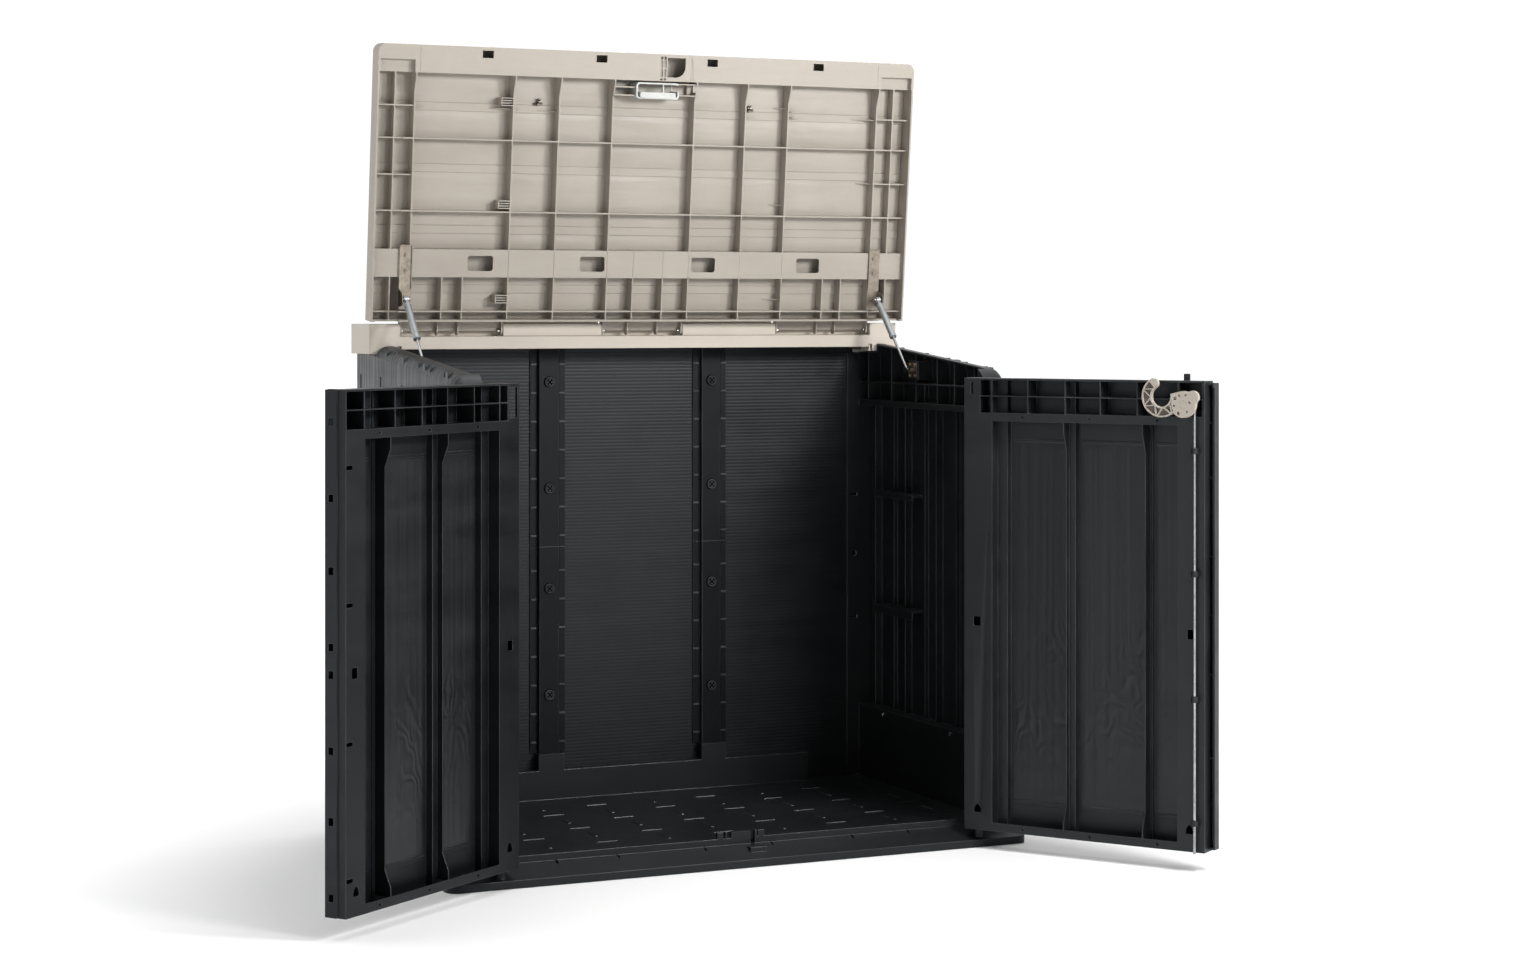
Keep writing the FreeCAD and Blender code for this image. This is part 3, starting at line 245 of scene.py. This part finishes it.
def turned(sd):
    """mapping that lays an open door back in its closed frame"""
    a = -DOOR_TURN[sd]
    p = Matrix.Rotation(a, 3, "Z") @ DOOR_AXIS[sd]
    return {"loc": (-p.x, -p.y, 0), "rot": (0, 0, a)}


def door_out(sd):
    v = Matrix.Rotation(DOOR_TURN[sd], 3, "Z") @ Vector((0, -1, 0))
    return (v.x, v.y, v.z)


lid_back = Matrix.Rotation(-LID_TURN, 3, "X") @ LID_AXIS
LID_MAP = {"loc": (-lid_back.x, -lid_back.y, -lid_back.z), "rot": (-LID_TURN, 0, 0)}
lid_out = Matrix.Rotation(LID_TURN, 3, "X") @ Vector((0, 0, -1))

M = {
    "dark": dark("dark_resin"),
    # lighter copy for bevels and small raised parts: painted highlight
    "dark_edge_highlight": dark("dark_resin_edge_highlight", rough=(0.30, 0.42), edge=True),
    # the left side panel's resin is a lighter, glossier copy of the right one's (shade 1.6): painted light
    "dark_side_l_lit": dark("dark_resin_side_left_lit", outside=(-1, 0, 0), stretch=(60, 60, 2.6), reach=(0.1, 0.35), shade=1.6, sheen=0.6),
    "dark_side_r": dark("dark_resin_side_right", outside=(1, 0, 0), stretch=(60, 60, 2.6), reach=(0.1, 0.35)),
    # the left door's resin is a darker copy of the right door's (shade 0.6, less sheen): painted shade
    "dark_door_l_shaded": dark("dark_resin_door_left_shaded", vec=turned(-1), outside=door_out(-1), stretch=(60, 60, 2.6), shade=0.6, sheen=0.34),
    "dark_door_r": dark("dark_resin_door_right", vec=turned(1), outside=door_out(1), stretch=(60, 60, 2.6), shade=1.0, sheen=0.5),
    "sheet": dark("fluted_sheet", rough=(0.36, 0.48), grain=0.6, shade=1.7, sheen=0.28),
    "post": dark("dark_resin_post", rough=(0.38, 0.52), shade=0.5, sheen=0.18),
    "plank": dark("door_plank_inside", rough=(0.34, 0.48), shade=1.0),
    # near-black, matt copy laid where there is only shadow: painted shade
    "recess_shade_black": dark("dark_resin_painted_recess_shade", rough=(0.55, 0.7), shade=0.3, sheen=0.04),
    # the base floor's resin is a darker copy of the dark resin (shade 0.85, less sheen): painted shade
    "pan": dark("dark_resin_pan_shaded", shade=0.85, sheen=0.4),
    "beige": beige("beige_resin"),
    # the header's beige is a lighter copy of the lid's (shade 1.5): painted light
    "beige_head_lit": beige("beige_resin_header_lit", vec=LID_MAP, shade=1.5),
    # darker beige copy for the hook's pockets: painted shade
    "beige_pocket_shade": beige("beige_resin_pocket_painted_shade", shade=0.42, rough=(0.5, 0.65)),
    "beige_lid": beige("beige_resin_lid", vec=LID_MAP, outside=tuple(lid_out), stretch=(2.4, 58, 58)),
    # lighter copy for bevels and small raised parts: painted highlight
    "beige_edge_highlight": beige("beige_resin_edge_highlight", edge=True, rough=(0.34, 0.46)),
    "beige_skin": beige("beige_resin_inner_skin", vec=LID_MAP, rough=(0.28, 0.44)),
    "grey": grey("grey_resin"),
    "zinc": metal("zinc_plate", (0.33, 0.29, 0.24), (0.20, 0.17, 0.14), (0.24, 0.44)),
    "hook_steel": metal("dull_hook_steel", (0.16, 0.14, 0.12), (0.09, 0.08, 0.07), (0.34, 0.5)),
    "brass": metal("yellow_zinc", (0.62, 0.50, 0.32), (0.48, 0.38, 0.24), (0.2, 0.36)),
    "steel": metal("bright_steel", (0.38, 0.39, 0.40), (0.28, 0.29, 0.30), (0.16, 0.32)),
    "pin": metal("drawn_steel", (0.46, 0.46, 0.46), (0.36, 0.36, 0.37), (0.28, 0.42)),
    "strut": metal("silver_paint", (0.40, 0.42, 0.43), (0.33, 0.35, 0.36), (0.30, 0.42), metallic=0.7),
    "chrome": metal("bright_rod", (0.42, 0.42, 0.43), (0.34, 0.34, 0.35), (0.14, 0.26)),
}

# main and edge material of each node; the edge copies of the dark and beige resins carry a painted highlight
FINISH = {}
for n in ("base_floor", "back_post_left_lower", "back_post_left_upper", "back_post_right_lower", "back_post_right_upper",
          "outer_strip_left", "outer_strip_right", "post_lock_plugs", "rod_guides", "latch_knob"):
    FINISH[n] = ("post" if "post" in n else "pan" if n == "base_floor" else "dark", "dark_edge_highlight")
FINISH.update({
    "left_side_panel": ("dark_side_l_lit", "dark_edge_highlight"), "right_side_panel": ("dark_side_r", "dark_edge_highlight"),
    "left_door": ("dark_door_l_shaded", "dark_edge_highlight"), "right_door": ("dark_door_r", "dark_edge_highlight"),
    "back_sheet_left": ("sheet", "dark_edge_highlight"), "back_sheet_center": ("sheet", "dark_edge_highlight"), "back_sheet_right": ("sheet", "dark_edge_highlight"),
    "rear_header": ("beige_head_lit", "beige_edge_highlight"), "lid_panel": ("beige_lid", "beige_edge_highlight"), "lid_hooks": ("hook_steel", "hook_steel"),
    "latch_hook": ("beige", "beige_edge_highlight"), "latch_spindle": ("beige", "beige_edge_highlight"), "lid_latch_frame": ("grey", "grey"), "lid_strike_pin": ("pin", "pin"),
    "lid_hinge_pins": ("pin", "pin"), "door_hinge_pins": ("pin", "pin"),
    "strut_bracket_left": ("zinc", "zinc"), "strut_bracket_right": ("zinc", "zinc"), "bracket_screws": ("zinc", "zinc"),
    "strut_stud_plate_left": ("zinc", "zinc"), "strut_stud_plate_right": ("zinc", "zinc"),
    "stud_plate_screws": ("brass", "brass"), "wall_screws": ("steel", "steel"), "lock_rod": ("steel", "steel"),
    "strut_cylinder_left": ("strut", "strut"), "strut_cylinder_right": ("strut", "strut"),
    "strut_rod_left": ("chrome", "chrome"), "strut_rod_right": ("chrome", "chrome"),
})
EDGE = {"lid_panel": 0.0005, "rear_header": 0.0012, "left_door": 0.0006, "right_door": 0.0006, "base_floor": 0.0006,
        "left_side_panel": 0.0009, "right_side_panel": 0.0009, "back_post_left_lower": 0.0005, "back_post_left_upper": 0.0005,
        "back_post_right_lower": 0.0005, "back_post_right_upper": 0.0005, "latch_hook": 0.0005, "lid_latch_frame": 0.0007}


# nodes whose edge width is not held back by their shortest edge; True: many-sided faces are cut into triangles first
OPEN_EDGES = {"left_side_panel": False, "right_side_panel": False, "left_door": False, "right_door": False, "rear_header": False,
              "base_floor": True, "lid_panel": True, "back_post_left_upper": True, "back_post_left_lower": True,
              "back_post_right_upper": True, "back_post_right_lower": True}


def soften(o, width, name):
    """weld the mesh, merge flat neighbours and round its sharp edges, on top of the kept mesh"""
    w = o.modifiers.new("weld", "WELD")
    w.merge_threshold = 2e-6
    d = o.modifiers.new("flats", "DECIMATE")
    d.decimate_type = "DISSOLVE"
    d.angle_limit = math.radians(0.4)
    if OPEN_EDGES.get(name):
        t = o.modifiers.new("triangles", "TRIANGULATE")
        t.min_vertices = 5
    b = o.modifiers.new("edge", "BEVEL")
    b.width = width
    b.segments = 2
    b.limit_method = "ANGLE"
    b.angle_limit = math.radians(40)
    # bevel faces take slot 1, the edge material; for the dark and beige resins that is the lighter copy, a painted
    # highlight along rounded edges
    b.material = 1
    b.use_clamp_overlap = name not in OPEN_EDGES
    e = o.modifiers.new("sharp", "EDGE_SPLIT")
    e.split_angle = math.radians(21)


for name, o in N.items():
    main, edge = FINISH[name]
    o.data.materials.clear()
    o.data.materials.append(M[main])
    o.data.materials.append(M[edge])
    o.data.polygons.foreach_set("material_index", np.zeros(len(o.data.polygons), np.int32))
    soften(o, EDGE.get(name, 0.0005), name)


# ---- mesh helpers ------------------------------------------------------------
def make(name, verts, faces, mat, body, smooth=True, stands_for=()):
    me = bpy.data.meshes.new(name)
    me.from_pydata([tuple(v) for v in verts], [], faces)
    me.validate()
    bm = bmesh.new()
    bm.from_mesh(me)
    bmesh.ops.recalc_face_normals(bm, faces=bm.faces)
    bm.to_mesh(me)
    bm.free()
    me.polygons.foreach_set("use_smooth", [smooth] * len(me.polygons))
    me.materials.append(M[mat])
    o = bpy.data.objects.new(name, me)
    bpy.context.scene.collection.objects.link(o)
    if smooth:
        e = o.modifiers.new("sharp", "EDGE_SPLIT")
        e.split_angle = math.radians(40)
    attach(o, body)
    if stands_for:
        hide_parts(*stands_for)
    return o


def relief(name, at, across, along, step, height, mat, body, base=0.00012):
    """closed slab that lies on a skin: at(u, v, h) gives its points, height(u, v) its relief"""
    nu = max(2, int(round((across[1] - across[0]) / step)) + 1)
    nv = max(2, int(round((along[1] - along[0]) / step)) + 1)
    u, v = np.linspace(*across, nu), np.linspace(*along, nv)
    U, V = np.meshgrid(u, v, indexing="ij")
    H = height(U, V)
    rim = np.minimum(np.minimum(U - across[0], across[1] - U), np.minimum(V - along[0], along[1] - V))
    k = np.clip(rim / 0.014, 0, 1)
    H = base + (H - H.min()) * k * k * (3 - 2 * k)
    verts, faces = [], []
    for i in range(nu):
        for j in range(nv):
            verts.append(at(u[i], v[j], H[i, j]))
    for i in range(nu - 1):
        for j in range(nv - 1):
            a = i * nv + j
            faces.append((a, a + nv, a + nv + 1, a + 1))
    loop = [(i, 0) for i in range(nu)] + [(nu - 1, j) for j in range(1, nv)] + [(i, nv - 1) for i in range(nu - 2, -1, -1)] + [(0, j) for j in range(nv - 2, 0, -1)]
    first = len(verts)
    for i, j in loop:
        verts.append(at(u[i], v[j], -0.0004))
    for q, (i, j) in enumerate(loop):
        i2, j2 = loop[(q + 1) % len(loop)]
        faces.append((i * nv + j, first + q, first + (q + 1) % len(loop), i2 * nv + j2))
    faces.append(tuple(range(first, first + len(loop))))
    return make(name, verts, faces, mat, body)


# ---- back sheets: twin-wall boards with level flutes ---------------------------
def fluted(node):
    lo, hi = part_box(node)
    pitch, deep, per = 0.0077, 0.00024, 6
    count = int((hi.z - lo.z - 0.002) / pitch)
    z = [lo.z] + [lo.z + 0.001 + pitch * i / per for i in range(count * per + 1)] + [hi.z]
    dip = [0.0] + [deep * (0.5 - 0.5 * math.cos(2 * math.pi * i / per)) ** 2 for i in range(count * per + 1)] + [0.0]
    verts, faces = [], []
    for x in (lo.x, hi.x):
        for zz, dd in zip(z, dip):
            verts.append((x, lo.y + dd, zz))
        for zz, dd in zip(z, dip):
            verts.append((x, hi.y - dd, zz))
    n = len(z)
    for i in range(n - 1):
        faces.append((i, 2 * n + i, 2 * n + i + 1, i + 1))
        faces.append((n + i + 1, 3 * n + i + 1, 3 * n + i, n + i))
        faces.append((i + 1, n + i + 1, n + i, i))
        faces.append((2 * n + i, 3 * n + i, 3 * n + i + 1, 2 * n + i + 1))
    faces.append((0, n, 3 * n, 2 * n))
    faces.append((n - 1, 3 * n - 1, 4 * n - 1, 2 * n - 1))
    make(node.replace("sheet", "fluted"), verts, faces, "sheet", "cabinet", stands_for=(node,))


for n in ("back_sheet_left", "back_sheet_center", "back_sheet_right"):
    fluted(n)


# ---- doors: sink marks of the boards' grain on the inside ----------------------
def plank_height(seed, mid, half):
    def f(S, Z):
        sway = 0.016 * vnoise(Z * 5.2, S * 3, seed + 5)
        swirl = 2.6 * vnoise(S * 26, Z * 13, seed) + 1.3 * vnoise(S * 60, Z * 34, seed + 3)
        arch = (Z - 0.35) / 0.050 + 2.2 * ((S - mid - sway) / half) ** 2 + swirl
        arch = 0.5 + 0.5 * np.sin(2 * math.pi * arch)
        fade = np.exp(-((Z - 0.36) / 0.15) ** 2)
        streak = vnoise(S * 240, Z * 3.0, seed + 7) + 0.6 * vnoise(S * 110, Z * 1.6, seed + 9)
        soft = vnoise(S * 16, Z * 9, seed + 11)
        patch = np.clip(0.5 + 1.5 * vnoise(S * 15, Z * 9, seed + 13), 0.1, 1)
        return 0.00080 * arch * fade * patch + 0.00034 * streak + 0.00040 * soft
    return f


for sd, side in ((-1, "left"), (1, "right")):
    for k, (a, b) in enumerate(((0.0925, 0.2270), (0.2495, 0.4045), (0.4175, 0.4830))):
        relief("%s_door_board_%d" % (side, k + 1), lambda s, z, h, sd=sd: door_pt(sd, s, 0.042 - h, z), (a, b), (0.106, 0.860), 0.0026,
               plank_height(20 + 7 * k + 3 * sd, (a + b) / 2, (b - a) / 2), "plank", side + "_door")


# ---- lid: flow marks on the inner skin ------------------------------------------
def skin_height(seed):
    def f(X, T):
        long = vnoise(X * 7, T * 30, seed) + 0.5 * vnoise(X * 17, T * 75, seed + 2)
        soft = vnoise(X * 6, T * 6, seed + 4)
        line = vnoise(X * 3.2, T * 190, seed + 6)
        return 0.00052 * long + 0.0008 * soft + 0.00010 * line
    return f


for k, (a, b) in enumerate(((0.0300, 0.0835), (0.1020, 0.1195), (0.1820, 0.2135), (0.2320, 0.3465), (0.3650, 0.4795), (0.4980, 0.5595))):
    relief("lid_inner_board_%d" % (k + 1), lambda x, t, h: lid_pt(x, t, h), (-0.633, 0.633), (a, b), 0.0036, skin_height(60 + 5 * k), "beige_skin", "lid")


# ---- small shapes ---------------------------------------------------------------
class Mesh:
    """closed islands gathered into one piece; put() turns local points into the frame"""

    def __init__(self, put):
        self.put, self.v, self.f = put, [], []

    def loft(self, loops, closed=False):
        """skin between loops of equal length, capped at both ends unless closed on itself"""
        n, base = len(loops[0]), len(self.v)
        for loop in loops:
            self.v += [self.put(*q) for q in loop]
        rows = len(loops)
        for i in range(rows if closed else rows - 1):
            for j in range(n):
                a, b = base + i * n, base + ((i + 1) % rows) * n
                self.f.append((a + j, a + (j + 1) % n, b + (j + 1) % n, b + j))
        if not closed:
            self.f.append(tuple(base + j for j in range(n - 1, -1, -1)))
            self.f.append(tuple(base + (rows - 1) * n + j for j in range(n)))

    def prism(self, pts, h0, h1, soft=0.0003):
        """outline in u, v pulled along w with small chamfers"""
        cu, cv = sum(p[0] for p in pts) / len(pts), sum(p[1] for p in pts) / len(pts)

        def inset(d):
            out = []
            for u, v in pts:
                r = math.hypot(u - cu, v - cv) or 1
                out.append((u - (u - cu) / r * d, v - (v - cv) / r * d))
            return out
        self.loft([[(u, v, h0) for u, v in pts], [(u, v, h1 - soft) for u, v in pts], [(u, v, h1) for u, v in inset(soft)]])

    def ring(self, r0, r1, h0, h1, n=36, soft=0.0003, cu=0.0, cv=0.0):
        prof = [(r0, h0), (r0, h1 - soft), (r0 + soft, h1), (r1 - soft, h1), (r1, h1 - soft), (r1, h0)]
        loops = []
        for i in range(n):
            c, k = math.cos(2 * math.pi * i / n), math.sin(2 * math.pi * i / n)
            loops.append([(cu + r * c, cv + r * k, h) for r, h in prof])
        self.loft(loops, closed=True)

    def done(self, name, mat, body, smooth=False):
        return make(name, self.v, self.f, mat, body, smooth=smooth)


# quarter-turn plugs of the back posts: a ring and four pads around a cross slot, in the lighter edge resin (painted
# highlight)
for k, (x, z) in enumerate([(sx, z) for sx in (-0.197, 0.197) for z in (0.980, 0.742, 0.518, 0.280)]):
    m = Mesh(lambda u, v, w, x=x, z=z: Vector((x + u, 0.3005 - w, z + v)))
    m.ring(0.0084, 0.0108, -0.0004, 0.0020, soft=0.0005)
    for q in range(4):
        a0, a1 = math.radians(45 + 90 * q + 16), math.radians(45 + 90 * q + 74)
        pts = [(0.0026 * math.cos((a0 + a1) / 2), 0.0026 * math.sin((a0 + a1) / 2))]
        pts += [(0.0066 * math.cos(a0 + (a1 - a0) * i / 8), 0.0066 * math.sin(a0 + (a1 - a0) * i / 8)) for i in range(9)]
        m.prism(pts, -0.0004, 0.0020)
    m.done("post_plug_face_%d" % (k + 1), "dark_edge_highlight", "cabinet")
    # painted shade: a near-black disc under the pads fills the cross slot and a near-black ring lines the groove round
    # the plug
    m = Mesh(lambda u, v, w, x=x, z=z: Vector((x + u, 0.3005 - w, z + v)))
    m.ring(0.0001, 0.0085, -0.0006, 0.0003, soft=0.0001)
    m.ring(0.0106, 0.0128, -0.0036, -0.0026, soft=0.0001)
    m.done("post_plug_painted_shade_%d" % (k + 1), "recess_shade_black", "cabinet")

# edges of the post ties and of the seams between the post halves, raised strips in the lighter edge resin: painted
# highlight
for sd, side in ((-1, "left"), (1, "right")):
    m = Mesh(lambda u, v, w, sd=sd: Vector((sd * 0.197 + u, w, v)))
    for z0, z1 in ((0.149, 0.6106), (0.6114, 1.080)):
        z = z0 + 0.024
        while z < z1 - 0.020:
            for way in (-1, 1):
                a, b = sorted((way * 0.0272, way * 0.0404))
                m.loft([[(x, z - 0.0017, 0.3116), (x, z + 0.0017, 0.3116), (x, z + 0.0019, 0.3122), (x, z + 0.0019, 0.3145), (x, z - 0.0019, 0.3145), (x, z - 0.0019, 0.3122)] for x in (a, b)])
            z += 0.064
    m.loft([[(x, 0.6102, 0.3034), (x, 0.6106, 0.3031), (x, 0.6114, 0.3031), (x, 0.6118, 0.3034), (x, 0.6118, 0.3060), (x, 0.6102, 0.3060)] for x in (-0.0224, 0.0224)])
    m.done("post_tie_edges_" + side, "dark_edge_highlight", "cabinet")

# painted shade: a darker beige floor laid in the hook's pockets
m = Mesh(lambda u, v, w: door_pt(1, 0.4644 - u, -0.0305 - w, 0.9655 + v))
rows = []
for i in range(43):
    c, k = math.cos(math.radians(198 + 5 * i)), math.sin(math.radians(198 + 5 * i))
    rows.append([(0.0243 * c, 0.0243 * k, -0.0003), (0.0387 * c, 0.0387 * k, -0.0003), (0.0387 * c, 0.0387 * k, 0.0004), (0.0243 * c, 0.0243 * k, 0.0004)])
m.loft(rows)
m.done("hook_pocket_painted_shade", "beige_pocket_shade", "latch")

# gussets beside the lid's ribs
m = Mesh(lambda u, v, w: lid_pt(u, v, w))
for x, way, t, run, tall in ((-0.330, -1, 0.488, 0.046, 0.020), (-0.327, 1, 0.488, 0.020, 0.018), (-0.2242, -1, 0.486, 0.040, 0.014), (0.2242, 1, 0.486, 0.034, 0.014),
                             (0.327, -1, 0.508, 0.024, 0.018), (0.330, 1, 0.486, 0.042, 0.018), (0.5505, -1, 0.488, 0.050, 0.022), (-0.5505, 1, 0.488, 0.030, 0.022),
                             (0.327, -1, 0.288, 0.026, 0.016), (0.327, -1, 0.072, 0.032, 0.016), (0.5505, -1, 0.341, 0.030, 0.018), (0.5505, -1, 0.264, 0.040, 0.029)):
    x1 = x + way * run
    loop = lambda tt: [(x, tt, -0.0003), (x1, tt, -0.0003), (x1, tt, 0.0022), (x + way * run * 0.45, tt, tall * 0.45), (x, tt, tall)]
    m.loft([loop(t - 0.0011), loop(t + 0.0011)])
m.done("lid_rib_gussets", "beige", "lid")

# raised joints between the boards of the lid's skin
m = Mesh(lambda u, v, w: lid_pt(u, v, w))
for t0, t1 in ((0.0838, 0.1017), (0.2138, 0.2317), (0.3468, 0.3647), (0.4798, 0.4977)):
    m.loft([[(x, t0, -0.0003), (x, t0, 0.0013), (x, t0 + 0.0006, 0.0019), (x, t1 - 0.0006, 0.0019), (x, t1, 0.0013), (x, t1, -0.0003)] for x in (-0.632, 0.632)])
m.done("lid_board_joints", "beige_lid", "lid")

# rungs of the three clips on the left rib, in the lighter edge beige: painted highlight
m = Mesh(lambda u, v, w: lid_pt(u, v, w))
for t in (0.504, 0.280, 0.073):
    for dt in (-0.0028, 0.0026):
        m.loft([[(x, t + dt - 0.0011, 0.0170), (x, t + dt + 0.0011, 0.0170), (x, t + dt + 0.0011, 0.0262), (x, t + dt - 0.0011, 0.0262)] for x in (-0.3548, -0.3300)])
m.done("lid_clip_rungs", "beige_edge_highlight", "lid")

# tapered ridge on the front band and the raised rims of its openings, in the lighter edge beige: painted highlight
m = Mesh(lambda u, v, w: lid_pt(u, v, w))
m.loft([[(0.0765, 0.5615, 0.0406), (0.0885, 0.5615, 0.0406), (0.0880, 0.5615, 0.0438)], [(0.0805, 0.6120, 0.0406), (0.0838, 0.6120, 0.0406), (0.0836, 0.6120, 0.0424)]])
for x in (-0.394, -0.132, 0.132, 0.394):
    out, inn = (0.0146, 0.0097), (0.0131, 0.0082)
    quad = lambda a, h: [(x - a[0], 0.605 - a[1], h), (x + a[0], 0.605 - a[1], h), (x + a[0], 0.605 + a[1], h), (x - a[0], 0.605 + a[1], h)]
    rows = []
    for i in range(4):
        o4, i4 = quad(out, 0.0), quad(inn, 0.0)
        (ox, oy, _), (ix, iy, _) = o4[i], i4[i]
        rows.append([(ox, oy, 0.0408), (ox, oy, 0.0416), (ix, iy, 0.0416), (ix, iy, 0.0408)])
    m.loft(rows, closed=True)
m.done("lid_band_trim", "beige_edge_highlight", "lid")

# collars of the gas struts
c, k = math.cos(LID_TURN), math.sin(LID_TURN)
TOP = Vector((0, 0.246 + 0.0752 * c - 0.052 * k, 1.095 + 0.0752 * k + 0.052 * c))
FOOT = Vector((0, 0.035, 1.0055))
AIM = (FOOT - TOP).normalized()
OFF = Vector((1, 0, 0)).cross(AIM)
for sd, side in ((-1, "left"), (1, "right")):
    m = Mesh(lambda u, v, w, sd=sd: TOP + Vector((sd * 0.565 + u, 0, 0)) + OFF * v + AIM * w)
    m.ring(0.0070, 0.0083, 0.1085, 0.1175, soft=0.0006)
    m.ring(0.0070, 0.0081, 0.0165, 0.0205, soft=0.0006)
    m.ring(0.0070, 0.0079, 0.0985, 0.1005, soft=0.0004)
    m.done("strut_collars_" + side, "strut", "strut_cylinder_" + side, smooth=True)


# ---- stage: pale floor that glows more away from the box (painted light), soft light, camera ---
def area(name, loc, aim, size, power, color=(1, 1, 1)):
    l = bpy.data.lights.new(name, "AREA")
    l.shape = "RECTANGLE"
    l.size, l.size_y = size
    l.energy = power
    l.color = color
    o = bpy.data.objects.new(name, l)
    o.location = loc
    o.rotation_euler = (Vector(aim) - Vector(loc)).to_track_quat("-Z", "Y").to_euler()
    bpy.context.scene.collection.objects.link(o)
    return o


world = bpy.data.worlds.new("studio")
bpy.context.scene.world = world
world.use_nodes = True
wt = world.node_tree
way = wt.nodes.new("ShaderNodeTexCoord")
part = wt.nodes.new("ShaderNodeSeparateXYZ")
ramp = wt.nodes.new("ShaderNodeMapRange")
ramp.inputs["From Min"].default_value = -0.10
ramp.inputs["From Max"].default_value = 0.20
ramp.inputs["To Min"].default_value = 0.03
ramp.inputs["To Max"].default_value = 1.06
wt.links.new(way.outputs["Generated"], part.inputs[0])
wt.links.new(part.outputs["Y"], ramp.inputs["Value"])
wt.links.new(ramp.outputs[0], wt.nodes["Background"].inputs["Strength"])
wt.nodes["Background"].inputs["Color"].default_value = (1, 1, 1, 1)

me = bpy.data.meshes.new("floor")
me.from_pydata([(-40, -40, -0.0005), (40, -40, -0.0005), (40, 40, -0.0005), (-40, 40, -0.0005)], [], [(0, 1, 2, 3)])
floor = bpy.data.objects.new("floor", me)
bpy.context.scene.collection.objects.link(floor)
pale = Net("pale_floor_glowing")
pale.set(Base_Color=pale.blend(pale.remap(pale.noise(pale.at, 1.5, 2.0), 0.3, 0.7, 0.0, 1.0), (0.93, 0.93, 0.93), (0.95, 0.95, 0.95)))
pale.p.inputs["Roughness"].default_value = 0.9
pale.p.inputs["Emission Color"].default_value = (1, 1, 1, 1)
# painted light: the floor glows, emission rising from 0.055 within 1 m of a point 0.5 m in front of the box's centre to
# 0.7 beyond 2.1 m
far = pale.add("ShaderNodeVectorMath", out=1, props={"operation": "LENGTH"}, i0=pale.place(loc=(0.0, 0.5, 0.0)))
pale.set(Emission_Strength=pale.remap(far, 1.0, 2.1, 0.055, 0.7))
pale.p.inputs["Specular IOR Level"].default_value = 0.1
me.materials.append(pale.m)

area("top", (0.1, -0.7, 4.3), (0.05, -0.2, 0), (4.2, 3.4), 78)
area("key_near", (1.25, -2.1, 2.0), (-0.9, 0.0, 1.3), (0.5, 0.5), 51).visible_camera = False
area("key_front", (0.9, -3.4, 2.1), (-0.1, 0.1, 1.0), (0.8, 0.8), 45)
area("key_left", (-3.2, -2.4, 1.9), (0.0, 0.1, 0.9), (1.2, 1.2), 11)

cam = bpy.data.cameras.new("camera")
cam.sensor_width = 36
cam.lens = 36 * 2786.39 / 1539
cam.shift_y = -(484.5 - 310.6) / 1539
cam.clip_end = 200
co = bpy.data.objects.new("camera", cam)
co.location = (-2.3124, -5.5850, 1.1398)
co.rotation_euler = (math.radians(90), 0, math.radians(-24.28))
bpy.context.scene.collection.objects.link(co)
bpy.context.scene.camera = co
bpy.context.scene.view_settings.view_transform = "Standard"
